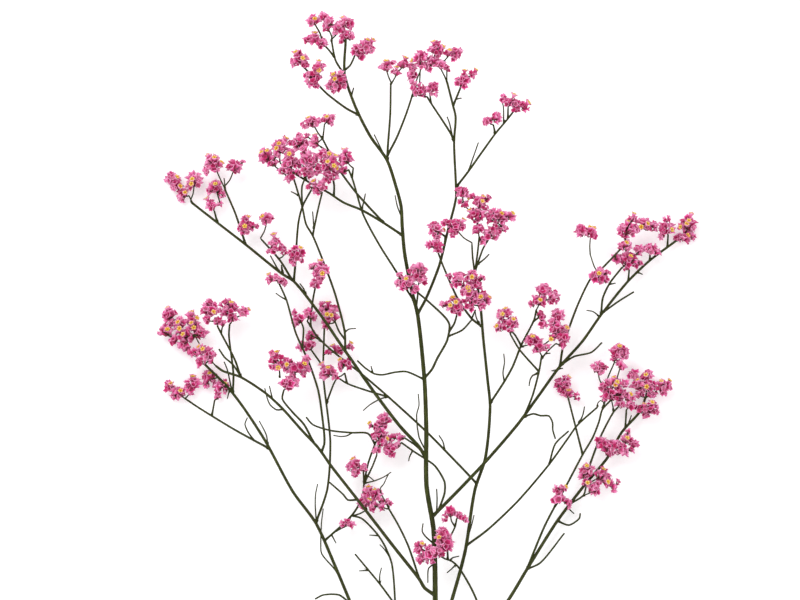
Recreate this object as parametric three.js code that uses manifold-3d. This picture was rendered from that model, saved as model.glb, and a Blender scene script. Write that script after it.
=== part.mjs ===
// One cut stem of dried statice (sea lavender), lying on a table.
//
// A thin main stem forks into side branches, and every branch ends in heads: short spikes of small
// papery funnels. The stem lies along +Y with its cut end at -Y, and rests on three low places: the
// cut end, the outermost left head and the outermost right head. All sizes are in millimetres.

import * as THREE from 'three';
import { mergeVertices } from 'three/addons/utils/BufferGeometryUtils.js';
import Module from 'manifold-3d';

const wasm = await Module();
wasm.setup();

// ---- Driving dimensions ----

const STEM_HEIGHT_AT_CUT = 1.82;        // the cut end's axis above the table, where it rests
const GAP = 0.3;                        // clear space between pieces that almost touch
const GROWTH_POINT = [0, -150, 0];      // heads turn away from here, as they grew up and outward
const TWIG_RADIUS = 0.5;                // the last twigs, which hold a bunch of heads together
const CLOSEST = 5.8;                    // heads of one bunch that stand closer have grown together
const LARGEST = 6.5;                    // the largest radius of heads that have grown together
const PRESSED = 1.08;                   // how far heads of one bunch grow into each other
const FOOT_SHARE = 0.9;                 // a twig's widest foot, as a share of what it grows from
const WELD = 0.005;                     // corners closer than this are one
const TABLE_SIZE = 800;                 // anything that would sink below z = 0 is pressed flat on it
const FORK_RADIUS = 1.5;                // a bare fork counts as a head of this radius to its stem
const NEAR_HEAD = 1;                    // a stem that ends this close to a head carries it
const SEED = 20261;                     // for how unevenly the funnels stand

const FLORET = {
  core: 0.45,                           // radius of a head's core, as a share of the head's radius
  reach: 0.92,                          // how far a funnel's rim stands from the core's middle
  spread: 0.8,                          // radius of a funnel's rim, as a share of its reach
  cup: 0.6,                             // how far out the bottom of a funnel's cup lies
  waist: 0.6,                           // the core's rings lie this share of its radius off its middle
  rooted: 0.15,                         // how far from a head's middle its own twigs start
  foot: 1.2,                            // how far below its middle a bunch's first head starts
  uneven: 0.1,                          // how much rims differ from each other
};
// How many funnels a head has beside the one at its top: the more, the larger its radius.
const SIDE_FUNNELS = [[4.4, 0], [5.4, 3], [Infinity, 6]];

const COLOURS = {
  stem: { color: 0x4f5a24, roughness: 0.75, metalness: 0 },
  heads: { color: 0xcf5a9c, roughness: 0.7, metalness: 0 },
};

// ---- The stems ----
// Each stem is its width at its foot, its width at its tip, and the points that it passes, [x, y] or
// [x, y, height]. A height left out lies evenly between its neighbours. A stem's first point is on
// the stem that it grows from, and takes its height from there.

const MAIN_STEM = [4.2, 1.4, [0, -300, STEM_HEIGHT_AT_CUT], [2, -185], [4.5, -136], [5, -52],
  [4.2, -25], [-0.4, 3], [-0.5, 40], [-1.5, 68], [-6, 110], [-9, 122], [-14, 148], [-15.5, 165],
  [-16.2, 177], [-19, 188], [-25, 206], [-35.5, 221], [-45, 240], [-51.5, 260], [-50.8, 281, 50]];

const STEMS = {
  main_stem: [
    MAIN_STEM,
    [1.3, 1, [-42.5, 234], [-50, 238], [-62, 247], [-67, 252, 44], [-74, 261], [-78, 265, 48]],
    [1.2, 1, [-51.5, 259], [-57, 268], [-59.5, 280, 50]],
    [1.1, 0.9, [-58, 270], [-62.5, 276], [-66, 279.5, 50.5]],
    [1.1, 0.9, [-51, 262], [-48, 265], [-44.5, 272.5, 51]],
    [1.3, 1, [-25.3, 205.5], [-24.5, 214], [-23, 235], [-22.7, 253, 48]],
    [1.3, 1, [-24.5, 209], [-19, 220], [-13, 235], [-9.5, 245.5, 49]],
    [1.2, 1, [-8, 118], [-12, 124], [-19, 136], [-29.7, 153], [-39.8, 172], [-46.5, 194],
      [-49, 200, 48]],
    [1.1, 0.9, [-46.8, 195], [-46, 201, 48]],
    [1.4, 1.1, [-1, 70], [3, 75.3], [6.5, 82.5], [12.5, 93.5], [14, 103, 39], [12, 107], [0, 118.5],
      [-6, 123.5, 42]],
    [1.2, 1, [14.1, 99], [17, 104], [18.5, 109, 41]],
    [1.1, 0.9, [13.5, 96], [22, 100], [28, 106.5, 34]],
    [1.1, 0.9, [-6.8, 114], [-5.9, 121], [-5.5, 127.5, 42]],
    [1.1, 0.9, [-2, 69], [-13, 74], [-20, 73.6], [-28, 72], [-33, 72.7], [-38.5, 76.2],
      [-43.5, 80.8, 29]],
  ],
  branch_top_right: [
    [1.6, 1.2, [-6, 110], [-1, 119], [7.5, 140], [13, 162], [18, 182], [18, 190, 43], [16.8, 217],
      [17.8, 233], [16.2, 240], [12.4, 255, 50]],
    [1.2, 1, [16.7, 218], [14.5, 223], [2.5, 241.5], [0, 245.5, 49]],
    [1.2, 1, [16.5, 240], [20, 249], [21.5, 253, 50]],
    [1.1, 0.9, [12, 158], [7, 161.5, 42]],
    [1.3, 1, [18, 189], [25, 198], [33.5, 210], [42.5, 222.5], [50.5, 232], [54, 236.5, 46]],
    [1.1, 0.9, [42.5, 222.5], [41.3, 228, 46]],
    [1.1, 0.9, [50.3, 232], [50.5, 238, 47]],
  ],
  branch_top_left: [
    [1.5, 1.1, [-15, 159], [-28, 167.5], [-41, 175], [-52, 179.5], [-62, 186, 37], [-71.5, 191],
      [-83, 198, 33]],
    [1.2, 1, [-58, 184], [-58, 190], [-59, 195.5, 38]],
    [1.3, 1, [-27, 167], [-44.5, 186], [-54.5, 199.5, 39], [-61, 211], [-65.3, 219.5, 43]],
    [1.2, 1, [-61, 210], [-66.5, 214.5, 40]],
  ],
  branch_left_high: [
    [2, 1.3, [-1.5, 20], [-5, 27], [-17, 40], [-33, 61], [-52, 88], [-67, 110], [-83.3, 130.4],
      [-91, 135.3], [-113, 153], [-131, 167], [-147, 179.5, 5.5]],
    [1.3, 1, [-84, 132], [-92, 143.5], [-103.5, 156.5, 15]],
    [1.2, 1, [-90, 135.5], [-91, 139.5, 15]],
    [1.3, 1, [-83, 131], [-82.5, 140], [-80.5, 167], [-78, 177, 24], [-71.5, 189, 31]],
    [1.3, 1, [-51, 87], [-51.5, 99], [-57, 121], [-61.5, 134, 22], [-71.5, 159], [-75.6, 166],
      [-78, 177, 28], [-84, 197, 32]],
    [1.1, 0.9, [-78, 177], [-78, 190, 38], [-75.5, 196, 39.5]],
    [1.1, 0.9, [-71.5, 159], [-68, 176], [-65.5, 186, 36]],
    [1.1, 0.9, [-51.5, 94], [-55, 99], [-57.5, 105, 13]],
    [1.3, 1, [-113, 154], [-120, 173], [-126.5, 188, 15.5]],
    [1.2, 1, [-131, 167.5], [-133, 174, 8]],
    [1.1, 0.9, [-3.5, 24], [-8, 28.5], [-14, 32.5, 20]],
  ],
  branch_right_high: [
    [2, 1.3, [3.5, -17], [19, -1], [36, 17], [57, 41.3], [70, 59], [83, 77], [97, 92.6], [109, 109.5],
      [125.5, 130], [139.5, 143.5], [155.5, 155.5, 6]],
    [1.2, 1, [60.5, 47], [66, 59], [70, 74], [71.7, 84, 28]],
    [1.1, 0.9, [70, 74], [57.8, 87.7], [52.2, 97, 31]],
    [1.3, 1, [83, 77.5], [85, 89], [94, 115], [103, 133], [110, 139], [121, 150.5, 19]],
    [1.2, 1, [109, 109.5], [110, 120], [114.5, 129.5], [122, 139, 13]],
    [1.1, 0.9, [126, 130.5], [126.6, 137.5, 11]],
    [1.1, 0.9, [139.5, 143.5], [139.7, 147, 9]],
    [1.1, 0.9, [150.5, 152], [151, 159.5, 9]],
    [1.1, 0.9, [110, 110.7], [120, 118], [129.5, 123.8, 5]],
    [1.1, 0.9, [84, 78], [92, 83.3], [103, 86], [109.5, 92, 10]],
    [1.1, 0.9, [60, 45.5], [66.5, 47.6], [71, 46.4], [76.3, 46.2], [78.6, 42], [78.7, 37.5],
      [80.3, 32, 14]],
    [1.2, 1, [7, -13], [11, -2], [11, 5, 21], [5, 15], [-2, 20], [-9, 24.5], [-16, 29.5, 17]],
  ],
  branch_right_mid: [
    [2.2, 1.4, [4, -101], [15.5, -69], [24, -38, 12.5], [30, 0], [36.5, 20], [39.5, 52, 18],
      [37.8, 70], [34.9, 97, 30], [34, 108], [33, 118, 36], [29.5, 137.5, 41]],
    [1.3, 1, [33.9, 102], [28, 107], [19, 120, 39], [10, 140], [7, 148, 46]],
    [1.3, 1, [39.3, 54], [48.5, 68], [53.5, 77], [59, 90.7], [67, 106.5], [68.3, 112.5, 24]],
    [1.1, 0.9, [66.5, 105.5], [69.5, 107.5, 24]],
    [1.1, 0.9, [58.8, 90.3], [54.5, 97.5], [51.5, 100, 29]],
    [1.3, 1, [25, -35], [38, -25], [57, -7], [76.5, 16], [88, 32], [94, 40.4], [103.4, 48.8],
      [109.5, 55.6, 18]],
    [1.1, 0.9, [76.5, 16], [80.3, 28.8], [88.5, 36.7, 20]],
    [1.3, 1, [30.6, 4], [24.2, 11.2], [18, 17.6], [0, 36], [-24, 58], [-41, 72.5], [-57, 85],
      [-66, 93, 13], [-72.5, 102, 11.5], [-71.5, 118, 12], [-70, 126, 19]],
    [1.1, 0.9, [-72.5, 102], [-75, 105.5, 11]],
    [1.1, 0.9, [-24, 58], [-38, 62.2], [-50, 66.5, 12], [-54.5, 69.3, 13]],
    [1.1, 0.9, [-50, 66.5], [-51.5, 73, 15]],
    [1.1, 0.9, [29.6, 136], [28.5, 145], [28, 153, 44]],
    [1.1, 0.9, [29.6, 136], [31.5, 148], [32.5, 158, 46]],
    [1.1, 0.9, [29.6, 136], [35, 151], [38, 156, 44]],
  ],
  branch_left_mid: [
    [2, 1.3, [3.5, -66], [-5, -55.6], [-20, -36.5], [-44, -5.5], [-60, 15, 23], [-78, 37], [-91, 51.5],
      [-101, 60.5], [-116.5, 70.5, 23], [-128, 74.5], [-132, 77.5, 21]],
    [1.2, 1, [-116.5, 70.5], [-120, 81], [-129, 98.5], [-131, 102.5, 28]],
    [1.1, 0.9, [-116.7, 72], [-121.5, 78.5], [-126.6, 83], [-130, 88, 25]],
    [1.3, 1, [-65.5, 24], [-64.7, 33], [-65.2, 43], [-68, 62], [-74, 80], [-82, 98], [-88, 119, 24],
      [-92.5, 129, 24]],
    [1.1, 0.9, [-77.5, 89], [-77.3, 101], [-78.5, 104.5, 15]],
    [1.3, 1, [-70.5, 30], [-77, 41], [-84, 48.5], [-90.5, 57], [-89.5, 62.5, 27]],
    [1.2, 1, [-4, -56], [-12, -34.5], [-18, -22], [-23.8, -12, 18]],
    [1.1, 0.9, [-43.5, -6], [-49.5, -6.3], [-52.3, -3], [-61, 4.7, 21]],
  ],
  branch_left_low: [
    [2.2, 1.4, [1.5, -185], [-15, -148], [-34, -104, 8], [-57.4, -48.2], [-69.6, -21, 7], [-84, -1.2],
      [-101, 30], [-115, 51.5], [-125, 64.5, 9], [-136, 75.5], [-139, 78.5, 15]],
    [1.3, 1, [-98.5, 25.5], [-120, 37.3], [-143, 51.3], [-151.5, 57, 6]],
    [1.1, 0.9, [-134.5, 46.5], [-133, 56, 6]],
    [1.2, 1, [-121.5, 60.5], [-121.2, 72], [-124, 97], [-123.5, 103.5, 14]],
    [1.3, 1, [-69, -20.5], [-62.5, 0], [-60.5, 30], [-65, 72, 9], [-64.5, 95], [-64.3, 101.5, 9.5]],
    [1.1, 0.9, [-62.8, 54], [-58.5, 66], [-57.5, 68, 12]],
    [1.1, 0.9, [-65, 77], [-70, 84], [-72.5, 87.5, 8.5]],
    [1.1, 0.9, [-64.8, 84.5], [-62.5, 86, 9.5]],
    [1.2, 1, [-64, -32], [-54, -23], [-47, -16, 9], [-43, -10, 9.5], [-40, -2, 9.5], [-39.5, 3, 11],
      [-37, 16], [-32, 30, 14]],
    [1.1, 0.9, [-39.4, 4], [-39.8, 11, 14]],
    [1.1, 0.9, [-39.4, 4], [-34, 15], [-31.5, 21.5, 14]],
    [1.1, 0.9, [-57, -26.5], [-51.3, -23, 11]],
    [1.2, 1, [-21, -134], [-20, -95], [-20, -70, 6], [-22, -46.5], [-26, -36], [-31, -28], [-41, -18],
      [-47.5, -16.3, 8]],
    [1.1, 0.9, [-20, -72], [-30, -58.5], [-45, -40.5, 5]],
    [1.1, 0.9, [-47, -72], [-55, -66], [-65, -66], [-70, -68.5, 5]],
    [1.1, 0.9, [-32.5, 28.5], [-37, 35.2, 14.5], [-47, 35.7], [-60, 37], [-71.5, 40.8],
      [-75.5, 45.3, 16]],
  ],
  branch_right_low: [
    [2.3, 1.4, [4.5, -136], [28, -100], [51, -69, 8], [63.4, -48.5], [81.3, -20.2, 6.5], [98, 2],
      [113, 20, 7], [122, 36], [133.5, 49, 8], [137, 58, 9]],
    [1.3, 1, [62, -49.5], [74, -22], [88, 4, 11], [97.5, 22], [108, 44.2], [112.6, 54, 14]],
    [1.2, 1, [97.5, 22], [93, 39.5, 11], [88.5, 57, 9]],
    [1.3, 1, [98, 2], [102.5, 17], [109, 34, 9.5], [117, 49], [119.5, 51.5, 13]],
    [1.1, 0.9, [124.3, 38.5], [124.8, 50, 11.5]],
    [1.1, 0.9, [90, -9.5], [98, -3.5], [99.5, 1.5, 11]],
    [1.1, 0.9, [80, -10.5], [82, -8, 14]],
    [1.1, 0.9, [111, 17.5], [113, 20.5, 11]],
    [1.1, 0.9, [63, -50], [70.8, -46], [86, -27.5, 4]],
    [1.1, 0.9, [81.5, -19.5], [89, -22.3], [95.5, -18], [96, -15, 6]],
    [1.3, 1, [34, -92], [31, -69], [20.5, -49.5, 10.5], [16, -45, 15], [11, -43, 22], [8, -41, 27]],
    [1.1, 0.9, [13, -44], [13, -33], [17.5, -23, 25], [18.5, -18, 26.5]],
  ],
};

// ---- The heads ----
// Each bunch of heads is a list of [x, y, height, radius]. A head hangs on a twig from the nearest
// head before it in its bunch. Radius 0 is a bare fork, where the last twigs part.

const BUNCHES = {
  heads_main: [
    [[-59.3, 281.5, 50, 0], [-54.5, 290.5, 51, 4.5], [-50, 293, 51, 4.5], [-50.5, 284.5, 51, 4.5],
      [-62, 292.5, 52, 4.5], [-65, 297, 52, 3.5], [-71, 293.5, 51, 4.5], [-71, 282, 50, 4],
      [-65, 279, 50.5, 4]],
    [[-44, 275.5, 51, 4.5], [-38, 277, 52, 5]],
    [[-56, 256, 54, 6.5], [-71, 256.5, 51, 6], [-67.5, 264, 51, 4.5], [-80, 270, 50, 6]],
    [[-22.5, 254.5, 48, 0], [-26, 265, 49, 4.5], [-19, 261, 49, 3], [-14.5, 266, 50, 4],
      [-9, 264, 50, 3]],
    [[-5, 250, 52, 5.5], [3, 251, 52, 5], [-4, 270.5, 53, 5]],
    [[-8, 125.5, 44, 3], [-13, 130, 45, 6], [-5, 133, 45, 5.5], [-6, 140, 46, 4.5]],
  ],
  heads_top_right: [
    [[18.5, 255, 50, 3.5], [24, 257.5, 51, 4], [29, 261, 51, 3]],
    [[12.3, 258, 50.5, 0], [8, 266, 51, 4.5], [3, 268, 51, 4], [6, 276, 52, 5], [14, 272.5, 52, 3.5],
      [19, 273.5, 52, 4]],
    [[37.5, 231, 47, 3.5], [43.5, 233, 47, 4]],
    [[51, 242.5, 48, 4], [46.5, 246, 48, 2.5], [56, 241, 47, 4], [61.5, 240, 47, 4]],
    [[7, 151, 46, 3.8], [1, 154, 46, 3.5], [4.5, 164, 44, 5]],
  ],
  heads_top_left: [
    [[-61, 197.5, 42, 6], [-67, 189.5, 42, 5], [-60, 204, 46, 6], [-51, 207.5, 44, 5.5],
      [-65, 209, 44, 5], [-73, 200, 40, 6], [-74, 208, 40, 6], [-70.5, 218, 41, 4], [-80, 217, 38, 6],
      [-86, 205, 38, 6], [-86.5, 193.5, 36, 3.5], [-91, 198.5, 36, 3.5], [-92, 215, 37, 6],
      [-97.5, 204, 35, 4], [-101, 208, 35, 6]],
    [[-65.7, 221, 44, 0], [-72, 230, 46, 5], [-62, 232, 46, 3.8]],
  ],
  heads_left_high: [
    [[-148, 181.5, 5.3, 0], [-153.5, 185.5, 4.2, 4.5], [-157.5, 191, 4.2, 4.5],
      [-161.5, 196.5, 4.4, 4.5], [-146, 194, 8, 6]],
    [[-135, 178, 8, 4], [-129.5, 179, 8, 2], [-133, 190, 8, 5]],
    [[-127, 189.5, 16, 0], [-134, 205, 15, 6], [-120.5, 203, 16, 5.5]],
    [[-104.2, 157.5, 15.3, 0], [-113, 165.5, 17, 5.5], [-100, 170.5, 18, 4.5]],
    [[-91.2, 140.5, 15.3, 0], [-94, 153, 18, 6], [-82, 147, 24, 6]],
    [[-67, 137, 29, 6], [-70.5, 129, 25, 3.5]],
    [[-63, 105, 10, 3.5], [-62, 112, 9.5, 6]],
    [[-61.5, 86.5, 9.5, 2.5], [-55.5, 87.5, 9.5, 3.5], [-48.5, 90, 13, 3]],
  ],
  heads_right_high: [
    [[70, 90, 31, 5], [65, 94, 32, 4.5], [78.5, 95.5, 27, 3], [84.5, 91, 26, 3.5], [85, 96, 27, 5],
      [87, 101, 27, 3.5], [80.5, 101, 27, 5], [79, 105, 27, 4], [82, 110, 28, 4.5]],
    [[53, 105, 34, 5], [47, 103, 33, 5], [49.5, 112, 35, 3.5], [46, 110, 34, 4]],
    [[108.5, 134, 27, 6], [102, 147, 28, 0], [102.5, 161.5, 29, 4.5], [96, 162.5, 29, 4.5]],
    [[124.5, 153.5, 19, 4], [125, 163, 18, 6.5], [127, 144, 13, 6.5], [133, 150, 13, 3.5],
      [140, 151, 13, 5], [137, 166, 16, 5.5], [143, 165.5, 15, 3.5], [150, 164.5, 12, 5]],
    [[162, 159, 4.4, 5], [164, 167, 7, 6]],
    [[-29, 34, 17, 6], [-27, 45, 17, 5], [-35, 41, 16, 2.5], [-24, 25.5, 17, 5], [-31.5, 25, 16, 3],
      [-19, 28, 17, 3], [-17, 33, 17, 3]],
  ],
  heads_right_mid: [
    [[27, 117, 43, 4], [17, 116, 44, 6], [34, 116, 42, 3.5], [37.5, 118.5, 42, 3.5], [34, 121, 43, 4.5],
      [29, 121, 44, 5], [25, 126, 45, 5], [31.5, 128.5, 45, 4], [28, 133, 46, 5], [19.5, 132, 46, 5]],
    [[28, 154.5, 44.5, 0], [32, 163.5, 46, 4.5], [35, 156, 45, 3], [40, 161, 45, 5.5], [48, 164, 45, 3],
      [31, 172.5, 47, 5.5], [41, 172, 46, 5], [47, 171, 46, 5.5], [52.5, 171.5, 46, 3.5],
      [33, 180, 48, 5], [23, 178.5, 48, 3], [22, 186, 49, 5], [17, 165.5, 48, 5.5]],
    [[71, 118.5, 25, 5], [65.5, 117, 25, 3], [72.5, 125.5, 26, 5], [79.5, 121.5, 26, 4.5],
      [71.5, 109, 25, 3.5], [73, 103.5, 25, 3]],
    [[-57, 71.5, 15, 3.5], [-63.5, 74, 15, 5], [-52, 79, 19, 4.5]],
    [[-74, 111, 11, 4], [-71, 109, 10.5, 3], [-81, 107, 13, 4.5]],
  ],
  heads_left_mid: [
    [[-131, 106, 29, 3.5], [-137.5, 106.5, 29, 3.5], [-136, 113, 30, 6]],
    [[-94.5, 132.5, 25, 3.5], [-98.5, 130.5, 25, 3], [-90, 131, 25, 3]],
    [[-86.5, 67, 30, 6], [-82.5, 77, 31, 6], [-77, 78, 30, 5], [-87, 80, 31, 4], [-95, 80, 30, 5.5]],
    [[-28, -10, 17, 3], [-24, -7.5, 17, 3], [-32, -3, 16, 4.5], [-34, -9.5, 16, 3.5],
      [-38, -2, 15.5, 4.5], [-39, -8, 16, 4.5]],
  ],
  heads_left_low: [
    [[-40, 14, 16, 3.5], [-46, 16, 16, 5]],
    [[-50.5, -20.5, 12.5, 3], [-54.5, -22, 12.5, 2.5], [-47, -22, 12.5, 2.3]],
    [[-156, 61, 6, 5], [-161, 65, 6, 4], [-147, 67, 6, 5.5], [-137, 71, 6, 4.5], [-131, 64, 5, 4],
      [-127, 66, 5, 4], [-131, 58.5, 5, 2.5]],
    [[-122, 108, 16, 4], [-125, 114, 16, 6.5], [-114.5, 111.5, 16, 4]],
    [[-136, 85.5, 19, 4.5], [-142, 80.5, 18, 4], [-141, 88, 18, 4], [-147.5, 86, 17, 3],
      [-145.5, 97, 13, 0], [-146.5, 103, 11, 5], [-142, 99, 12, 5], [-147.5, 109, 11, 4.5],
      [-153, 97, 10, 5], [-153, 91, 10, 4.5], [-159, 94, 9, 4], [-155, 104, 10, 5],
      [-164, 99.5, 8, 5], [-162, 110, 8, 5]],
    [[-73, 91, 8.5, 4], [-73, 97, 7.5, 4], [-79, 90, 8.5, 3]],
  ],
  heads_right_low: [
    [[113.5, 61, 16, 4.5], [111.5, 58, 16, 3], [110, 65, 16, 3.5], [118.5, 67, 17, 4.5],
      [121, 60, 16, 5], [121, 54, 15, 3.5], [127, 58, 16, 4.5], [127, 53, 15, 3.5], [107, 77, 17, 5],
      [121.5, 78, 16, 3.5], [118.5, 83, 16, 4], [117, 88, 16, 3.5], [122, 88, 16, 4.5],
      [124.5, 83.5, 16, 3.5]],
    [[139, 66, 10, 4.5], [138, 72, 10, 4.5], [132, 66, 9.5, 5], [129, 72, 9.5, 4], [133, 60, 9, 3],
      [142, 60, 10, 3], [147, 67, 10, 4], [148, 61.5, 10, 3.5], [152, 67, 9, 3],
      [141.5, 52.5, 12, 4], [138.5, 49.5, 13, 4], [134, 51, 13.5, 4]],
    [[114, 23, 13, 3], [114, 27, 13.5, 4.5], [109, 30, 14.5, 4], [119, 28, 13.5, 4], [123, 25, 13, 4.5],
      [128.5, 25, 12, 2.5], [125.5, 32, 13, 4.5], [131, 30, 12, 3.5], [126, 37, 13, 1.8]],
    [[101, 4.5, 12.5, 3.5], [100, 12, 13, 5], [96.5, 8.5, 12, 3], [104.5, 0.5, 12.5, 4.5],
      [109, 9, 13, 5], [113.5, 4.5, 12.5, 4], [117.5, 1, 12, 3], [119.5, 5, 12, 2]],
    [[83, -5, 16, 4.5], [82, 0.5, 16, 3.5], [86.5, 2, 16, 3], [88.5, -8, 15, 3]],
    [[88.5, 60, 9, 4], [85.5, 64, 9, 4], [81.5, 67, 9, 3.5], [87, 69.5, 9.5, 3.5], [94, 58.5, 9, 2.5]],
    [[7, -38, 30, 5], [1, -38, 30, 5], [1, -43, 30, 4], [-5, -35, 30, 4], [-5, -43, 30, 4],
      [12, -34, 30, 5], [8, -30, 31, 4], [10, -25, 31, 4.5]],
    [[15, -13.5, 27, 4], [11, -17, 27, 2.5], [20, -15.5, 27, 3.5], [24, -18, 27, 2.5]],
  ],
};

// ---- Small helpers ----

function seededRandom(seed) {
  let state = seed;
  return () => {
    state = (state * 1664525 + 1013904223) % 4294967296;
    return state / 4294967296;
  };
}

const around = (random, amount) => 1 + (random() * 2 - 1) * amount;

// A closed solid from its corners and its triangles.
function solid(points, triangles) {
  const mesh = new wasm.Mesh({
    numProp: 3,
    vertProperties: new Float32Array(points.flatMap((p) => [p.x, p.y, p.z])),
    triVerts: new Uint32Array(triangles.flat()),
  });
  return new wasm.Manifold(mesh);
}

// The largest body of a solid: a scrap that a cut leaves loose is dropped.
function largestBody(body) {
  const pieces = body.decompose();
  return pieces.reduce((best, piece) => (piece.volume() > best.volume() ? piece : best));
}

function joined(bodies) {
  return bodies.reduce((whole, body) => whole.add(body));
}

// ---- Stems ----

function sidesOf(width) {
  if (width >= 3) return 6;
  if (width >= 2) return 5;
  return width >= 1.5 ? 4 : 3;
}

// Heights left out of a route are filled in evenly along its length.
function withHeights(route) {
  const points = route.map(([x, y, z]) => ({ x, y, z }));
  const distance = [0];
  for (let i = 1; i < points.length; i += 1) {
    const step = Math.hypot(points[i].x - points[i - 1].x, points[i].y - points[i - 1].y);
    distance.push(distance[i - 1] + step);
  }
  let low = 0;
  for (let i = 1; i < points.length; i += 1) {
    if (points[i].z === undefined) continue;
    for (let k = low + 1; k < i; k += 1) {
      const share = (distance[k] - distance[low]) / (distance[i] - distance[low]);
      points[k].z = points[low].z + share * (points[i].z - points[low].z);
    }
    low = i;
  }
  return points.map((p) => new THREE.Vector3(p.x, p.y, p.z));
}

// The place nearest to (x, y), seen from above, on the centre lines of the stems already grown, and
// how wide the stem is there.
function nearestOnStems(stems, x, y) {
  let best = null;
  let bestDistance = Infinity;
  for (const { points, footWidth, tipWidth } of stems) {
    for (let i = 1; i < points.length; i += 1) {
      const a = points[i - 1];
      const b = points[i];
      const lengthSquared = (b.x - a.x) ** 2 + (b.y - a.y) ** 2;
      const along = ((x - a.x) * (b.x - a.x) + (y - a.y) * (b.y - a.y)) / lengthSquared;
      const place = a.clone().lerp(b, Math.min(1, Math.max(0, along)));
      const distance = Math.hypot(place.x - x, place.y - y);
      if (distance < bestDistance) {
        const width = THREE.MathUtils.lerp(footWidth, tipWidth, i / (points.length - 1));
        best = { place, width };
        bestDistance = distance;
      }
    }
  }
  return best;
}

// A stem ends just short of the core of the head, or of the bare fork, that it carries.
function endShortOfHead(points, heads) {
  const tip = points[points.length - 1];
  const reached = heads.find((head) => (
    head.place.distanceTo(tip) < Math.max(head.radius, FORK_RADIUS) + NEAR_HEAD));
  if (!reached) return;
  const clear = Math.max(reached.radius * FLORET.core, TWIG_RADIUS) + 2 * GAP;
  while (points.length > 2 && points[points.length - 2].distanceTo(reached.place) < clear) points.pop();
  const before = points[points.length - 2];
  const last = points[points.length - 1];
  const towards = before.clone().sub(reached.place).setLength(clear);
  last.copy(reached.place).add(towards);
}

function grownStems(list, parents, heads) {
  const stems = [];
  for (const [footWidth, tipWidth, ...route] of list) {
    const [x, y, z] = route[0];
    const grownFrom = z === undefined ? nearestOnStems(stems.length ? stems : parents, x, y) : null;
    const start = grownFrom ? grownFrom.place.toArray() : [x, y, z];
    const points = withHeights([start, ...route.slice(1)]);
    endShortOfHead(points, heads);
    const widest = grownFrom ? grownFrom.width * FOOT_SHARE : Infinity;
    stems.push({ footWidth: Math.min(footWidth, widest), tipWidth: Math.min(tipWidth, widest), points });
  }
  return stems;
}

// A tapered tube of flat sides, closed at both ends. clear puts its sides and its tip that much
// further out.
function tube({ footWidth, tipWidth, points }, clear = 0) {
  const sides = sidesOf(footWidth);
  const wider = clear / Math.cos(Math.PI / sides);
  const up = new THREE.Vector3(0, 0, 1);
  const corners = [];
  const triangles = [];
  const last = points.length - 1;
  points.forEach((point, i) => {
    const ahead = points[Math.min(i + 1, last)].clone().sub(points[Math.max(i - 1, 0)]).normalize();
    const side = new THREE.Vector3().crossVectors(ahead, up).normalize();
    const rise = new THREE.Vector3().crossVectors(side, ahead);
    const radius = THREE.MathUtils.lerp(footWidth, tipWidth, i / last) / 2 + wider;
    const middle = point.clone();
    if (i === last) middle.addScaledVector(ahead, clear);
    for (let k = 0; k < sides; k += 1) {
      const angle = -Math.PI / 2 + ((k + 0.5) / sides) * Math.PI * 2;
      const corner = middle.clone();
      corner.addScaledVector(side, Math.cos(angle) * radius);
      corner.addScaledVector(rise, Math.sin(angle) * radius);
      corners.push(corner);
    }
  });
  for (let i = 0; i < last; i += 1) {
    for (let k = 0; k < sides; k += 1) {
      const a = i * sides + k;
      const b = i * sides + ((k + 1) % sides);
      triangles.push([a, b + sides, b], [a, a + sides, b + sides]);
    }
  }
  for (let k = 1; k < sides - 1; k += 1) {
    triangles.push([0, k, k + 1]);
    triangles.push([last * sides, last * sides + k + 1, last * sides + k]);
  }
  return solid(corners, triangles);
}

// ---- Heads ----

// Two heads that stand closer than CLOSEST have grown into one, which spans them both.
function grownTogether(list) {
  const heads = [];
  for (const [x, y, z, full] of list) {
    const place = new THREE.Vector3(x, y, z);
    const near = heads.find((other) => other.full > 0 && other.place.distanceTo(place) < CLOSEST);
    if (near && full > 0) {
      const distance = near.place.distanceTo(place);
      near.full = Math.min(LARGEST, (near.full + full + distance) / 2);
      near.place.lerp(place, 0.5);
    } else {
      heads.push({ place, full });
    }
  }
  return heads;
}

// Heads are grown until they touch: side by side in one bunch, a gap apart in different bunches.
function fittedBunches(bunches) {
  const heads = [];
  bunches.forEach((list, bunch) => grownTogether(list).forEach(({ place, full }) => {
    heads.push({ bunch, place, full, radius: full });
  }));
  for (const head of heads) {
    for (const other of heads) {
      if (other === head || other.full === 0 || head.full === 0) continue;
      const apart = head.place.distanceTo(other.place);
      const room = other.bunch === head.bunch ? apart * PRESSED : apart - 2 * GAP;
      head.radius = Math.min(head.radius, room * head.full / (head.full + other.full));
    }
  }
  return bunches.map((list, bunch) => heads.filter((head) => head.bunch === bunch));
}

// The turn about a head's axis that lets its further twigs pass between its three lowest funnels.
function turnBetween(twigs, u, v, random) {
  let sine = 0;
  let cosine = 0;
  for (const twig of twigs) {
    const angle = Math.atan2(twig.dot(v), twig.dot(u));
    sine += Math.sin(3 * angle);
    cosine += Math.cos(3 * angle);
  }
  return twigs.length ? Math.atan2(sine, cosine) / 3 : random() * Math.PI * 2;
}

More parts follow.
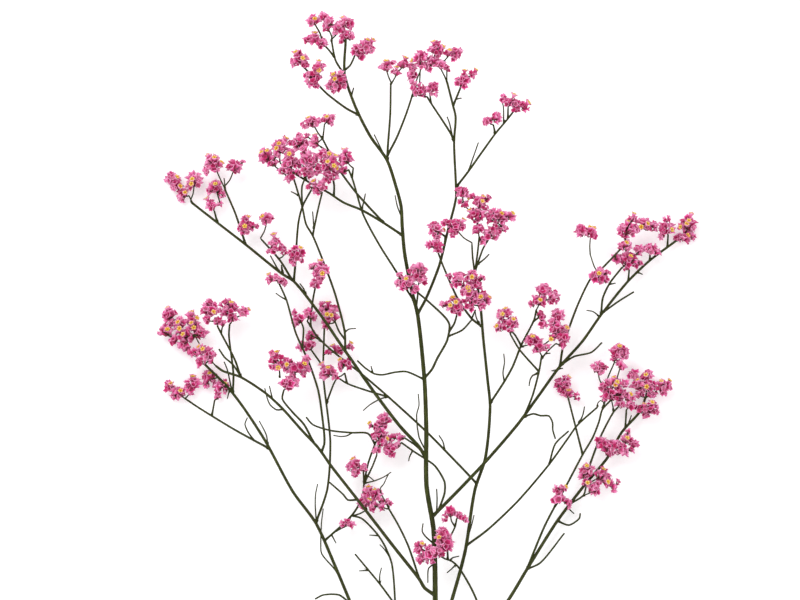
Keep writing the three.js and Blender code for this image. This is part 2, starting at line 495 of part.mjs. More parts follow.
// One head on its twig: a small core of triangles with a funnel raised from most of its faces, and
// its foot drawn out into the twig. A funnel widens to its rim and has a sunk cup.
function head(place, foot, radius, twigs, random) {
  const sides = SIDE_FUNNELS.find(([limit]) => radius <= limit)[1];
  const axis = place.clone().sub(foot).normalize();
  const helper = Math.abs(axis.z) > 0.9 ? new THREE.Vector3(1, 0, 0) : new THREE.Vector3(0, 0, 1);
  const u = new THREE.Vector3().crossVectors(axis, helper).normalize();
  const v = new THREE.Vector3().crossVectors(axis, u);
  const twist = turnBetween(twigs, u, v, random) + (sides === 0 ? 0 : Math.PI / 3);
  const core = FLORET.core * radius;
  const corners = [];
  const triangles = [];

  const ring = (middle, out, turn) => {
    for (let k = 0; k < 3; k += 1) {
      const angle = twist + turn + k * Math.PI * 2 / 3;
      const corner = middle.clone().addScaledVector(u, Math.cos(angle) * out);
      corners.push(corner.addScaledVector(v, Math.sin(angle) * out));
    }
  };
  // Raises one funnel from the face whose three corners are given in turn, seen from outside.
  const raise = (face) => {
    const middle = new THREE.Vector3();
    face.forEach((index) => middle.addScaledVector(corners[index], 1 / 3));
    const outward = middle.clone().sub(place).normalize();
    const reach = FLORET.reach * radius * around(random, FLORET.uneven);
    const rim = place.clone().addScaledVector(outward, reach);
    const first = corners.length;
    face.forEach((index) => {
      const sideways = corners[index].clone().sub(middle).normalize();
      const width = FLORET.spread * reach * around(random, FLORET.uneven);
      corners.push(rim.clone().addScaledVector(sideways, width));
    });
    corners.push(place.clone().lerp(rim, FLORET.cup));
    for (let k = 0; k < 3; k += 1) {
      const next = (k + 1) % 3;
      triangles.push([face[k], face[next], first + next], [face[k], first + next, first + k]);
      triangles.push([first + k, first + next, first + 3]);
    }
  };

  ring(foot, TWIG_RADIUS, 0);
  ring(place.clone().addScaledVector(axis, -core * FLORET.waist), core, 0);
  triangles.push([0, 2, 1]);
  for (let k = 0; k < 3; k += 1) {
    const next = (k + 1) % 3;
    triangles.push([k, next, next + 3], [k, next + 3, k + 3]);
  }
  if (sides === 0) {
    corners.push(place.clone().addScaledVector(axis, core));
    for (let k = 0; k < 3; k += 1) raise([k + 3, (k + 1) % 3 + 3, 6]);
    return solid(corners, triangles);
  }
  ring(place.clone().addScaledVector(axis, core * FLORET.waist), core, Math.PI / 3);
  const faces = [];
  for (let k = 0; k < 3; k += 1) faces.push([k + 6, (k + 2) % 3 + 6, k + 3]);
  for (let k = 0; k < 3; k += 1) faces.push([k + 3, (k + 1) % 3 + 3, k + 6]);
  faces.forEach((face, i) => {
    if (i < sides) {
      raise(face);
    } else {
      triangles.push(face);
    }
  });
  raise([6, 7, 8]);
  return solid(corners, triangles);
}

// A bunch: its heads, each on a twig from the nearest head before it.
function bunch(heads, random) {
  const bodies = [];
  const parents = heads.map(({ place }, i) => heads.slice(0, i).reduce((best, other) => (
    !best || other.place.distanceTo(place) < best.place.distanceTo(place) ? other : best), null));
  heads.forEach((one, i) => {
    const { place, radius } = one;
    const parent = parents[i];
    const carried = heads.filter((_, k) => parents[k] === one);
    const twigs = carried.map((other) => other.place.clone().sub(place));
    const foot = place.clone().sub(new THREE.Vector3(...GROWTH_POINT));
    foot.setLength(-FLORET.foot * FLORET.core * radius).add(place);
    if (parent) {
      const share = FLORET.rooted * parent.radius / parent.place.distanceTo(place);
      foot.lerpVectors(parent.place, place, share);
    }
    if (radius > 0) {
      bodies.push(head(place, foot, radius, twigs, random));
    } else if (parent) {
      const width = TWIG_RADIUS * 2;
      bodies.push(tube({ footWidth: width, tipWidth: width, points: [foot, place] }));
    }
  });
  return joined(bodies);
}

// ---- The whole spray ----

// The solid inside a closed surface.
function solidInside(geometry) {
  return new wasm.Manifold(new wasm.Mesh({
    numProp: 3,
    vertProperties: geometry.getAttribute('position').array,
    triVerts: new Uint32Array(geometry.getIndex().array),
  }));
}

// The surface of a solid. Corners closer than WELD become one.
function surfaceOf(body) {
  const { vertProperties, triVerts, numProp } = body.getMesh();
  const positions = [];
  for (const index of triVerts) {
    positions.push(...vertProperties.subarray(index * numProp, index * numProp + 3));
  }
  const loose = new THREE.BufferGeometry();
  loose.setAttribute('position', new THREE.Float32BufferAttribute(positions, 3));
  return mergeVertices(loose, WELD);
}

function pieceOf(name, body, look) {
  const welded = solidInside(surfaceOf(largestBody(body)));
  const geometry = surfaceOf(largestBody(welded));
  geometry.computeVertexNormals();
  const mesh = new THREE.Mesh(geometry, new THREE.MeshStandardMaterial(look));
  mesh.name = name;
  return mesh;
}

// A slab whose top is the table's.
function tableSlab() {
  const box = new THREE.BoxGeometry(TABLE_SIZE, TABLE_SIZE, TABLE_SIZE / 10);
  box.translate(0, 0, -TABLE_SIZE / 20);
  box.deleteAttribute('normal');
  box.deleteAttribute('uv');
  return solidInside(mergeVertices(box));
}

const fitted = fittedBunches(Object.values(BUNCHES).flat(1));
const allHeads = fitted.flat(1);
const mainStems = grownStems(STEMS.main_stem, [], allHeads);
const clearOfMainStem = joined(mainStems.map((stem) => tube(stem, GAP)));
const spray = new THREE.Group();
const clearances = [clearOfMainStem];

for (const [name, list] of Object.entries(STEMS)) {
  const isMain = name === 'main_stem';
  const stems = isMain ? mainStems : grownStems(list, mainStems, allHeads);
  let body = joined(stems.map((stem) => tube(stem)));
  if (!isMain) {
    body = body.subtract(clearOfMainStem);
    clearances.push(joined(stems.map((stem) => tube(stem, GAP))));
  }
  spray.add(pieceOf(name, body, COLOURS.stem));
}

const random = seededRandom(SEED);
const table = tableSlab();
const bunchNames = Object.entries(BUNCHES).flatMap(([name, list]) => (
  list.map((_, i) => `${name}_${i + 1}`)));
fitted.forEach((heads, i) => {
  let body = bunch(heads, random).subtract(table);
  for (const stems of clearances) body = body.subtract(stems);
  spray.add(pieceOf(bunchNames[i], body, COLOURS.heads));
});

// The origin is under the middle of the whole, on the table.
const middle = new THREE.Box3().setFromObject(spray).getCenter(new THREE.Vector3());
spray.position.set(-middle.x, -middle.y, 0);

export default spray;
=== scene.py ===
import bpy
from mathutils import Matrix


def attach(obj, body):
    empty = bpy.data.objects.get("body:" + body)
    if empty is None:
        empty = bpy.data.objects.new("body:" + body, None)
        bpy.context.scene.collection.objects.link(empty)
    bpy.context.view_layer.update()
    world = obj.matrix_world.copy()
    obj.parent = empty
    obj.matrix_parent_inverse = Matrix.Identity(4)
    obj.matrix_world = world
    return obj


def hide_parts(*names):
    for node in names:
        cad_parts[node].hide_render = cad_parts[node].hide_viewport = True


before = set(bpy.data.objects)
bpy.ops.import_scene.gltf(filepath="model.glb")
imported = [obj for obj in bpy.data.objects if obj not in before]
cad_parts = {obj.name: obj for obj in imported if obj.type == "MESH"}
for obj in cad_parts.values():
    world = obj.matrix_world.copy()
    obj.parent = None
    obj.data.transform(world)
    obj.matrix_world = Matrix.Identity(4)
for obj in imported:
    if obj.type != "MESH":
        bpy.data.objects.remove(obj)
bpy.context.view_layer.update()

# The finished look of one cut stem of dried statice lying on a table: round stems with fibres and
# bracts, and heads of five-lobed papery funnels, some with a small yellow flower inside.
# Places and sizes are in millimetres. +X is right, +Y runs up the stem and +Z is up from the table.
# The finished pieces are moved so that MIDDLE is their origin.

import math
from dataclasses import dataclass, field

import bpy
import numpy as np
from mathutils import Vector

MM = 0.001
MIDDLE = np.array([0.39, 0.07, 0.0])  # the middle of the part, which becomes its origin
GROWTH_POINT = np.array([0.0, -150.0, 0.0])  # heads turn away from here, as they grew
PRESSED_BELOW = 0.6  # what lies lower than this is pressed by the table
RANDOM_TURN = 6.28  # random turns are drawn from 0 to this
SEED = 4494

# ---- Camera, light and table ----

SEEN_WIDTH = 500.0  # how much of the table the photograph shows
SEEN_CENTRE = np.array([-16.9, 118.75])
CAMERA_HEIGHT = 10000.0
MIDDLE_DEPTH = 28.0  # the height at which the seen width is measured
SENSOR_WIDTH = 36.0
LAMPS = {  # place and size in metres, and power in watts
    "key": ((-0.7, 1.0, 1.6), 1.0, 18),
    "fill": ((0.9, -0.3, 1.8), 1.4, 8),
}
SKY_STRENGTH = 0.78
TABLE_GLOW = 0.32
TABLE_HALF = 30.0  # half the table's width, in metres

# ---- Sizes of stems ----

ROUNDNESS = 0.75  # 0 keeps stems straight between their points
STEM_STEP = 1.6  # the distance between the rings of a stem
STEM_SIDES = ((2.6, 20), (1.6, 12), (0, 8))  # (width, sides of a stem that is wider than this)
CUT_SIDES = 24
FOOT_SHARE = 0.95  # how wide a foot is at most, beside the stem that it grows from
FIBRES = 0.2  # how much loose fibres add to a stem's width
FLARE = 0.3  # how much a side stem's foot swells
THREE_SIDED = 0.05  # how far a stem's section is from round
TWIST = 0.07  # how fast that section turns along the stem, in radians to a millimetre
WAVER = 0.02  # how much a stem's thickness wavers along it
WAVER_PACE = 0.9  # how fast it does, in radians to a millimetre
DRY_BELOW = 0.95  # a stem that isn't thicker than this is dry
LEAST_DRY = 0.6  # by this at least, where 1 is all dry
TIP_SHARE = 0.5  # the radius of a tip's last ring, and how far it stands out, beside the tip's radius
FORK_BRACT = (1.6, 2.8)  # the length of the bract at a fork

# ---- Sizes of heads, as shares of a head's radius where no other unit is given ----

TIP_REACH = 4.0  # a stem that ends this near a head, in mm, carries it
FINE_TIP_REACH = 2.0  # and so does one of the finest twigs
TWIG_WIDTH = (0.95, 0.8)  # twigs inside a bunch, at their foot and tip, in mm
TWIG_STEP = 1.0  # the distance between their rings, in mm
TWIG_SIDES = 6
TWIG_BEND = 0.1  # how far they bow, as a share of their length
SHORTEST_TWIG = 0.5  # in mm
TWIG_DEPTH = 0.4  # how far below a head's middle its twig ends
LOW_MIDDLE = 0.16  # how far below it the middle of the funnels is
ROOT_DEPTH = 0.5  # and how far below that middle they start
FUNNEL_REACH = (0.58, 0.94)  # how far from their middle they end
FLOWER_RISE = 0.45  # the least height of an open flower above the middle
FLOWER_CLEAR = 2.0  # other funnels end further from it than this, in mm
HEAD_CLEAR = 0.55  # and further than this from the middle of another head
LEAST_LEAN = -0.5  # funnels that point back further than this are left out
HEAD_COST = 0.8  # the cost of a twig that starts in a head, beside one that starts on a stem
PEDICEL_TURNS = (0, 2.09, 4.19)  # the three corners round a funnel's stalk
BRACT_CHANCE = 0.4
FUNNEL_BRACT = 2.0  # the length of the bract at a full-grown funnel, in mm

FUNNEL_LENGTH = 4.4  # a full-grown funnel, from its foot to its rim
FUNNEL_THICKNESS = 0.16
FUNNEL_RINGS = [  # share of the length, radius in mm, and how lobed the ring is
    (0.0, 0.3, 0.0), (0.68, 1.1, 0.1), (0.9, 2.1, 0.5), (1.0, 2.75, 1.0),
]
LOBES = 5
FUNNEL_SIDES = 15
FUNNEL_KINDS = 10
FLOWER_RADIUS = 1.55
FLOWER_HEIGHT = 1.2
FLOWER_SEAT = 0.92  # how far up its funnel a flower sits

# ---- Where the stems are ----
# Each stem is its width at its foot, its width at its tip, and the points that it passes, [x, y] or
# [x, y, height]. A height left out lies evenly between its neighbours. A stem whose first point has
# no height starts at the nearest place on the stems before it in its branch, and a branch's first
# stem at the nearest place on the main stem.

STEM_HEIGHT_AT_CUT = 1.82  # the middle line of the main stem, above the table
MAIN_STEM = [4.2, 1.4, [0, -300, STEM_HEIGHT_AT_CUT], [2, -185], [4.5, -136], [5, -52], [4.2, -25],
  [-0.4, 3], [-0.5, 40], [-1.5, 68], [-6, 110], [-9, 122], [-14, 148], [-15.5, 165], [-16.2, 177],
  [-19, 188], [-25, 206], [-35.5, 221], [-45, 240], [-51.5, 260], [-50.8, 281, 50]]

STEMS = {
  "main_stem": [
    MAIN_STEM,
    [1.3, 1, [-42.5, 234], [-50, 238], [-62, 247], [-67, 252, 44], [-74, 261], [-78, 265, 48]],
    [1.2, 1, [-51.5, 259], [-57, 268], [-59.5, 280, 50]],
    [1.1, 0.9, [-58, 270], [-62.5, 276], [-66, 279.5, 50.5]],
    [1.1, 0.9, [-51, 262], [-48, 265], [-44.5, 272.5, 51]],
    [1.3, 1, [-25.3, 205.5], [-24.5, 214], [-23, 235], [-22.7, 253, 48]],
    [1.3, 1, [-24.5, 209], [-19, 220], [-13, 235], [-9.5, 245.5, 49]],
    [1.2, 1, [-8, 118], [-12, 124], [-19, 136], [-29.7, 153], [-39.8, 172], [-46.5, 194], [-49, 200, 48]],
    [1.1, 0.9, [-46.8, 195], [-46, 201, 48]],
    [1.4, 1.1, [-1, 70], [3, 75.3], [6.5, 82.5], [12.5, 93.5], [14, 103, 39], [12, 107], [0, 118.5],
      [-6, 123.5, 42]],
    [1.2, 1, [14.1, 99], [17, 104], [18.5, 109, 41]],
    [1.1, 0.9, [13.5, 96], [22, 100], [28, 106.5, 34]],
    [1.1, 0.9, [-6.8, 114], [-5.9, 121], [-5.5, 127.5, 42]],
    [1.1, 0.9, [-2, 69], [-13, 74], [-20, 73.6], [-28, 72], [-33, 72.7], [-38.5, 76.2],
      [-43.5, 80.8, 29]],
  ],
  "branch_top_right": [
    [1.6, 1.2, [-6, 110], [-1, 119], [7.5, 140], [13, 162], [18, 182], [18, 190, 43], [16.8, 217],
      [17.8, 233], [16.2, 240], [12.4, 255, 50]],
    [1.2, 1, [16.7, 218], [14.5, 223], [2.5, 241.5], [0, 245.5, 49]],
    [1.2, 1, [16.5, 240], [20, 249], [21.5, 253, 50]],
    [1.1, 0.9, [12, 158], [7, 161.5, 42]],
    [1.3, 1, [18, 189], [25, 198], [33.5, 210], [42.5, 222.5], [50.5, 232], [54, 236.5, 46]],
    [1.1, 0.9, [42.5, 222.5], [41.3, 228, 46]],
    [1.1, 0.9, [50.3, 232], [50.5, 238, 47]],
  ],
  "branch_top_left": [
    [1.5, 1.1, [-15, 159], [-28, 167.5], [-41, 175], [-52, 179.5], [-62, 186, 37], [-71.5, 191],
      [-83, 198, 33]],
    [1.2, 1, [-58, 184], [-58, 190], [-59, 195.5, 38]],
    [1.3, 1, [-27, 167], [-44.5, 186], [-54.5, 199.5, 39], [-61, 211], [-65.3, 219.5, 43]],
    [1.2, 1, [-61, 210], [-66.5, 214.5, 40]],
  ],
  "branch_left_high": [
    [2, 1.3, [-1.5, 20], [-5, 27], [-17, 40], [-33, 61], [-52, 88], [-67, 110], [-83.3, 130.4],
      [-91, 135.3], [-113, 153], [-131, 167], [-147, 179.5, 5.5]],
    [1.3, 1, [-84, 132], [-92, 143.5], [-103.5, 156.5, 15]],
    [1.2, 1, [-90, 135.5], [-91, 139.5, 15]],
    [1.3, 1, [-83, 131], [-82.5, 140], [-80.5, 167], [-78, 177, 24], [-71.5, 189, 31]],
    [1.3, 1, [-51, 87], [-51.5, 99], [-57, 121], [-61.5, 134, 22], [-71.5, 159], [-75.6, 166],
      [-78, 177, 28], [-84, 197, 32]],
    [1.1, 0.9, [-78, 177], [-78, 190, 38], [-75.5, 196, 39.5]],
    [1.1, 0.9, [-71.5, 159], [-68, 176], [-65.5, 186, 36]],
    [1.1, 0.9, [-51.5, 94], [-55, 99], [-57.5, 105, 13]],
    [1.3, 1, [-113, 154], [-120, 173], [-126.5, 188, 15.5]],
    [1.2, 1, [-131, 167.5], [-133, 174, 8]],
    [1.1, 0.9, [-3.5, 24], [-8, 28.5], [-14, 32.5, 20]],
  ],
  "branch_right_high": [
    [2, 1.3, [3.5, -17], [19, -1], [36, 17], [57, 41.3], [70, 59], [83, 77], [97, 92.6], [109, 109.5],
      [125.5, 130], [139.5, 143.5], [155.5, 155.5, 6]],
    [1.2, 1, [60.5, 47], [66, 59], [70, 74], [71.7, 84, 28]],
    [1.1, 0.9, [70, 74], [57.8, 87.7], [52.2, 97, 31]],
    [1.3, 1, [83, 77.5], [85, 89], [94, 115], [103, 133], [110, 139], [121, 150.5, 19]],
    [1.2, 1, [109, 109.5], [110, 120], [114.5, 129.5], [122, 139, 13]],
    [1.1, 0.9, [126, 130.5], [126.6, 137.5, 11]],
    [1.1, 0.9, [139.5, 143.5], [139.7, 147, 9]],
    [1.1, 0.9, [150.5, 152], [151, 159.5, 9]],
    [1.1, 0.9, [110, 110.7], [120, 118], [129.5, 123.8, 5]],
    [1.1, 0.9, [84, 78], [92, 83.3], [103, 86], [109.5, 92, 10]],
    [1.1, 0.9, [60, 45.5], [66.5, 47.6], [71, 46.4], [76.3, 46.2], [78.6, 42], [78.7, 37.5],
      [80.3, 32, 14]],
    [1.2, 1, [7, -13], [11, -2], [11, 5, 21], [5, 15], [-2, 20], [-9, 24.5], [-16, 29.5, 17]],
  ],
  "branch_right_mid": [
    [2.2, 1.4, [4, -101], [15.5, -69], [24, -38, 12.5], [30, 0], [36.5, 20], [39.5, 52, 18], [37.8, 70],
      [34.9, 97, 30], [34, 108], [33, 118, 36], [29.5, 137.5, 41]],
    [1.3, 1, [33.9, 102], [28, 107], [19, 120, 39], [10, 140], [7, 148, 46]],
    [1.3, 1, [39.3, 54], [48.5, 68], [53.5, 77], [59, 90.7], [67, 106.5], [68.3, 112.5, 24]],
    [1.1, 0.9, [66.5, 105.5], [69.5, 107.5, 24]],
    [1.1, 0.9, [58.8, 90.3], [54.5, 97.5], [51.5, 100, 29]],
    [1.3, 1, [25, -35], [38, -25], [57, -7], [76.5, 16], [88, 32], [94, 40.4], [106.6, 51.7, 18]],
    [1.1, 0.9, [76.5, 16], [80.3, 28.8], [88.5, 36.7, 20]],
    [1.3, 1, [30.6, 4], [24.2, 11.2], [18, 17.6], [0, 36], [-24, 58], [-41, 72.5], [-57, 85],
      [-66, 93, 13], [-72.5, 102, 11.5], [-71.5, 118, 12], [-70, 126, 19]],
    [1.1, 0.9, [-72.5, 102], [-75, 105.5, 11]],
    [1.1, 0.9, [-24, 58], [-38, 62.2], [-50, 66.5, 12], [-54.5, 69.3, 13]],
    [1.1, 0.9, [-50, 66.5], [-51.5, 73, 15]],
    [1.1, 0.9, [29.6, 136], [28.5, 145], [28, 153, 44]],
    [1.1, 0.9, [29.6, 136], [31.5, 148], [32.5, 158, 46]],
    [1.1, 0.9, [29.6, 136], [35, 151], [38, 156, 44]],
  ],
  "branch_left_mid": [
    [2, 1.3, [3.5, -66], [-1.5, -61.4], [-5, -55.6], [-20, -36.5], [-44, -5.5], [-60, 15, 23],
      [-68.2, 26.6], [-78, 37], [-91, 51.5], [-101, 60.5], [-116.5, 70.5, 23], [-128, 74.5],
      [-132, 77.5, 21]],
    [1.2, 1, [-116.5, 70.5], [-120, 81], [-129, 98.5], [-131, 102.5, 28]],
    [1.1, 0.9, [-116.7, 72], [-121.5, 78.5], [-126.6, 83], [-130, 88, 25]],
    [1.3, 1, [-65.5, 24], [-64.3, 28.5], [-64.2, 33], [-65.2, 43], [-68, 62], [-74, 80], [-82, 98],
      [-88, 119, 24], [-92.5, 129, 24]],
    [1.1, 0.9, [-77.5, 89], [-77.3, 101], [-78.5, 104.5, 15]],
    [1.3, 1, [-70.5, 30], [-77, 41], [-84, 48.5], [-90.5, 57], [-89.5, 62.5, 27]],
    [1.2, 1, [-4, -56], [-12, -34.5], [-18, -22], [-23.8, -12, 18]],
    [1.1, 0.9, [-43.5, -6], [-49.5, -6.3], [-52.3, -3], [-61, 4.7, 21]],
  ],
  "branch_left_low": [
    [2.2, 1.4, [1.5, -185], [-15, -148], [-34, -104, 8], [-57.4, -48.2], [-69.6, -21, 7], [-84, -1.2],
      [-101, 30], [-115, 51.5], [-125, 64.5, 9], [-136, 75.5], [-139, 78.5, 15]],
    [1.3, 1, [-98.5, 25.5], [-120, 37.3], [-143, 51.3], [-151.5, 57, 6]],
    [1.1, 0.9, [-134.5, 46.5], [-133, 56, 6]],
    [1.2, 1, [-121.5, 60.5], [-121.2, 72], [-124, 97], [-123.5, 103.5, 14]],
    [1.3, 1, [-69, -20.5], [-62.5, 0], [-60.5, 30], [-65, 72, 9], [-64.5, 95], [-64.3, 101.5, 9.5]],
    [1.1, 0.9, [-62.8, 54], [-58.5, 66], [-57.5, 68, 12]],
    [1.1, 0.9, [-65, 77], [-70, 84], [-72.5, 87.5, 8.5]],
    [1.1, 0.9, [-64.8, 84.5], [-62.5, 86, 9.5]],
    [1.2, 1, [-64, -32], [-54, -23], [-47, -16, 9], [-43, -10, 9.5], [-40, -2, 9.5], [-39.5, 3, 11],
      [-37, 16], [-32, 30, 14]],
    [1.1, 0.9, [-39.4, 4], [-39.8, 11, 14]],
    [1.1, 0.9, [-39.4, 4], [-34, 15], [-31.5, 21.5, 14]],
    [1.1, 0.9, [-57, -26.5], [-51.3, -23, 11]],
    [1.2, 1, [-21, -134], [-20, -95], [-20, -70, 6], [-22, -46.5], [-26, -36], [-31, -28], [-41, -18],
      [-47.5, -16.3, 8]],
    [1.1, 0.9, [-20, -72], [-30, -58.5], [-45, -40.5, 5]],
    [1.1, 0.9, [-47, -72], [-55, -66], [-65, -66], [-70, -68.5, 5]],
    [1.1, 0.9, [-32.5, 28.5], [-37, 35.2, 14.5], [-47, 35.7], [-60, 37], [-71.5, 40.8],
      [-75.5, 45.3, 16]],
  ],
  "branch_right_low": [
    [2.3, 1.4, [4.5, -136], [28, -100], [51, -69, 8], [63.4, -48.5], [81.3, -20.2, 6.5], [98, 2],
      [113, 20, 7], [122, 36], [133.5, 49, 8], [137, 58, 9]],
    [1.3, 1, [62, -49.5], [74, -22], [88, 4, 11], [97.5, 22], [103.8, 32.8], [107.6, 42.5], [109.7, 50.2],
      [114.9, 56, 15]],
    [1.2, 1, [97.5, 22], [93, 39.5, 11], [88.5, 57, 9]],
    [1.3, 1, [98, 2], [102.5, 17], [109, 34, 9.5], [117, 49], [119.5, 51.5, 13]],
    [1.1, 0.9, [124.3, 38.5], [124.8, 50, 11.5]],
    [1.1, 0.9, [90, -9.5], [98, -3.5], [99.5, 1.5, 11]],
    [1.1, 0.9, [80, -10.5], [82, -8, 14]],
    [1.1, 0.9, [111, 17.5], [113, 20.5, 11]],
    [1.1, 0.9, [63, -50], [70.8, -46], [86, -27.5, 4]],
    [1.1, 0.9, [81.5, -19.5], [89, -22.3], [95.5, -18], [96, -15, 6]],
    [1.3, 1, [34, -92], [31, -69], [20.5, -49.5, 10.5], [16, -45, 15], [11, -43, 22], [8, -41, 27]],
    [1.1, 0.9, [13, -44], [13, -33], [17.5, -23, 25], [18.5, -18, 26.5]],
  ],
}

# The finest dry twigs, which only this script makes.
FINE_TWIGS = {
  "main_stem": [
    [1, 0.8, [-64.5, 279.5], [-66.5, 284.5], [-69.8, 290.5, 51]],
    [0.9, 0.7, [-59, 280], [-59.5, 283], [-61.5, 287.5, 51]],
    [0.9, 0.6, [-22.5, 253], [-20, 257.5, 48.5]],
    [0.9, 0.6, [-9.5, 245.5], [-6.5, 256], [-4, 262, 52]],
    [0.9, 0.6, [-47, 246], [-45.8, 251, 48]],
    [0.8, 0.55, [-26, 208], [-33, 222, 40]],
    [0.8, 0.55, [-16, 170], [-18.5, 177], [-20, 184, 36]],
    [1, 0.6, [3.8, -34], [-1, -29], [-3, -26], [-2.5, -21, 26]],
    [0.9, 0.55, [-41, 175], [-39.5, 180], [-38.5, 185, 45]],
    [0.8, 0.55, [3.5, -46], [1, -49], [0.5, -58, 23]],
    [0.8, 0.55, [-1.2, 24], [-5, 33], [-6.5, 47, 27], [-5, 53], [-5.5, 60, 28]],
    [0.8, 0.5, [-34, 73], [-35, 77.5, 29]],
  ],
  "branch_top_right": [
    [0.9, 0.7, [2.5, 241.5], [2, 245], [1.5, 249, 51]],
    [0.9, 0.7, [12.6, 254], [11, 258], [9.5, 261, 51]],
    [0.7, 0.5, [18.5, 243.8], [21.5, 244.7, 48]],
    [0.9, 0.6, [16, 220], [14, 229], [12.5, 233, 46]],
    [0.8, 0.55, [26, 199], [28.5, 207], [32, 217, 40]],
    [0.8, 0.5, [9, 153], [11, 158, 38]],
    [0.8, 0.5, [47.5, 229], [47.5, 240], [46, 244, 46]],
  ],
  "branch_top_left": [
    [0.9, 0.7, [-81, 196.8], [-85, 201], [-91.5, 204, 35], [-91.8, 212, 36]],
    [0.9, 0.7, [-75.5, 193.8], [-77.5, 203, 38]],
    [0.9, 0.7, [-65.3, 219], [-68, 223], [-70, 226.5, 45]],
    [0.9, 0.7, [-65.3, 219], [-64.5, 224], [-64, 228.5, 45]],
    [0.9, 0.6, [-76, 193.5], [-77, 199], [-79.5, 202, 33]],
  ],
  "branch_left_high": [
    [0.9, 0.6, [-92, 137], [-95, 141], [-98, 146.5, 12]],
    [0.8, 0.55, [-71, 163], [-71.5, 174, 24]],
    [0.8, 0.55, [-80, 184], [-85, 186.5, 28]],
    [0.8, 0.5, [-51.5, 98.5], [-49, 100.5], [-44.5, 101, 18]],
    [0.9, 0.6, [-76, 122], [-77, 125.5], [-79.5, 129, 18]],
    [0.8, 0.55, [-147, 179], [-149, 184, 7]],
    [0.8, 0.55, [-126, 187], [-127, 195, 13]],
  ],
  "branch_right_high": [
    [0.9, 0.7, [71.6, 82], [76.5, 88], [80.5, 91.5, 27]],
    [1, 0.6, [69.7, 73], [66, 71.5], [64.5, 69], [63.8, 65, 22]],
    [0.8, 0.5, [108, 108.5], [104, 111.5], [100, 112.3, 9]],
    [0.9, 0.6, [6, -14], [6.3, -5], [6, 0.5, 22]],
    [0.8, 0.55, [-9, 24.5], [-11, 20.5], [-11.5, 18, 19]],
    [0.8, 0.55, [114, 128.5], [118, 129.3, 12]],
    [0.8, 0.55, [132, 136], [135, 134.8, 7]],
    [0.8, 0.55, [82, 75.5], [85, 76, 13]],
    [0.8, 0.55, [81, 74.5], [78, 74.5, 14]],
    [0.9, 0.55, [71.5, 82], [74, 85], [77, 85.5, 27]],
  ],
  "branch_right_mid": [
    [0.9, 0.7, [28.3, 107.5], [30.2, 112.5, 39]],
    [0.5, 0.5, [106.6, 51.7], [106.8, 54.2], [108.5, 55.9, 17], [110.3, 55], [110.4, 52.8],
      [109.8, 50.8, 14]],
    [0.8, 0.55, [58, 90], [63, 90.5, 24]],
    [0.8, 0.5, [48, 68], [47.5, 73], [48.5, 80], [48, 85, 15]],
    [0.8, 0.5, [25.5, -31], [28, -22], [29.5, -16, 8]],
    [0.9, 0.55, [95, 41.5], [97.5, 47], [98.5, 52, 20]],
    [0.8, 0.55, [11.5, 25], [10, 30], [7.5, 34, 14]],
    [0.8, 0.5, [-25, 58], [-30, 56.5], [-36, 53], [-40, 49.5, 11]],
    [0.9, 0.6, [-66, 93], [-68.5, 94.5], [-73, 96.8, 14]],
    [1, 0.6, [33, 140.5], [36, 144.5], [38.7, 147.3, 40]],
    [0.8, 0.55, [33, 104.5], [30.5, 108.5], [30, 112, 34]],
  ],
  "branch_left_mid": [
    [0.7, 0.5, [-26, -8], [-29.4, 0.4], [-27, 3.8], [-25.4, 7.3], [-24, 10, 17]],
    [0.9, 0.6, [-129, 98], [-127.5, 103.5, 29]],
    [0.8, 0.55, [-88, 119], [-91, 120.5], [-94.5, 123, 23]],
    [0.9, 0.6, [-90, 50.5], [-94, 50], [-98, 53], [-99.5, 56], [-101.5, 63.5, 20]],
    [0.8, 0.55, [-96.5, 57], [-98.5, 65, 25]],
    [0.9, 0.55, [-92, 70, 25], [-92.5, 79], [-93, 81, 26]],
  ],
  "branch_left_low": [
    [0.9, 0.7, [-46.5, -16.3], [-42, -15], [-37.5, -12.5, 13]],
    [0.7, 0.5, [-38, 9], [-36, 8], [-33, 5.5, 13]],
    [0.9, 0.6, [-122, 61], [-125, 75], [-127, 80, 12]],
    [0.9, 0.55, [-108, 31], [-112, 36], [-114, 41], [-112.5, 45, 9]],
    [0.8, 0.5, [-69.3, -20], [-70, -10], [-69.8, -3], [-68.5, 3.5, 6]],
    [0.8, 0.5, [-39.4, 4], [-33, 5.5], [-27, 8], [-22.5, 11, 13]],
    [0.8, 0.5, [-59.5, -28.5], [-57, -33.5, 8]],
    [0.8, 0.5, [-37, -51], [-42.5, -51, 4]],
    [0.8, 0.5, [-30, -59], [-29.5, -53], [-28.5, -49, 8]],
    [0.8, 0.5, [-30.5, -29], [-36, -28.5, 6]],
    [0.8, 0.5, [-47, 35.5], [-50, 33.8], [-54, 33.3], [-58.5, 34, 12]],
    [0.8, 0.5, [-99.5, 28], [-100.5, 34], [-105, 43, 7]],
    [0.9, 0.55, [-50, -66], [-57, -51], [-66, -40], [-66.5, -33], [-66, -20], [-65, -12, 6.5]],
    [0.8, 0.5, [-123.5, 63], [-125, 57, 9]],
    [0.8, 0.5, [-24, -42], [-27, -37], [-29.5, -34.5, 8]],
  ],
  "branch_right_low": [
    [0.9, 0.7, [17.5, -23], [15.3, -19.5], [14.8, -17, 26.5]],
    [0.7, 0.5, [97.5, -3.8], [101, -2.5, 11]],
    [0.9, 0.7, [111, 50], [112, 58], [112.5, 68], [117, 79, 16]],
    [0.8, 0.55, [14, -44.5], [16, -42.5], [20, -41.5, 19]],
    [0.8, 0.55, [18, -47], [15, -50], [12.5, -52, 12]],
    [0.8, 0.55, [117, 49], [115.5, 56, 13]],
    [0.8, 0.55, [125.5, 41], [128, 46.5, 9]],
    [0.8, 0.55, [89, -12], [92, -15, 8]],
  ],
}

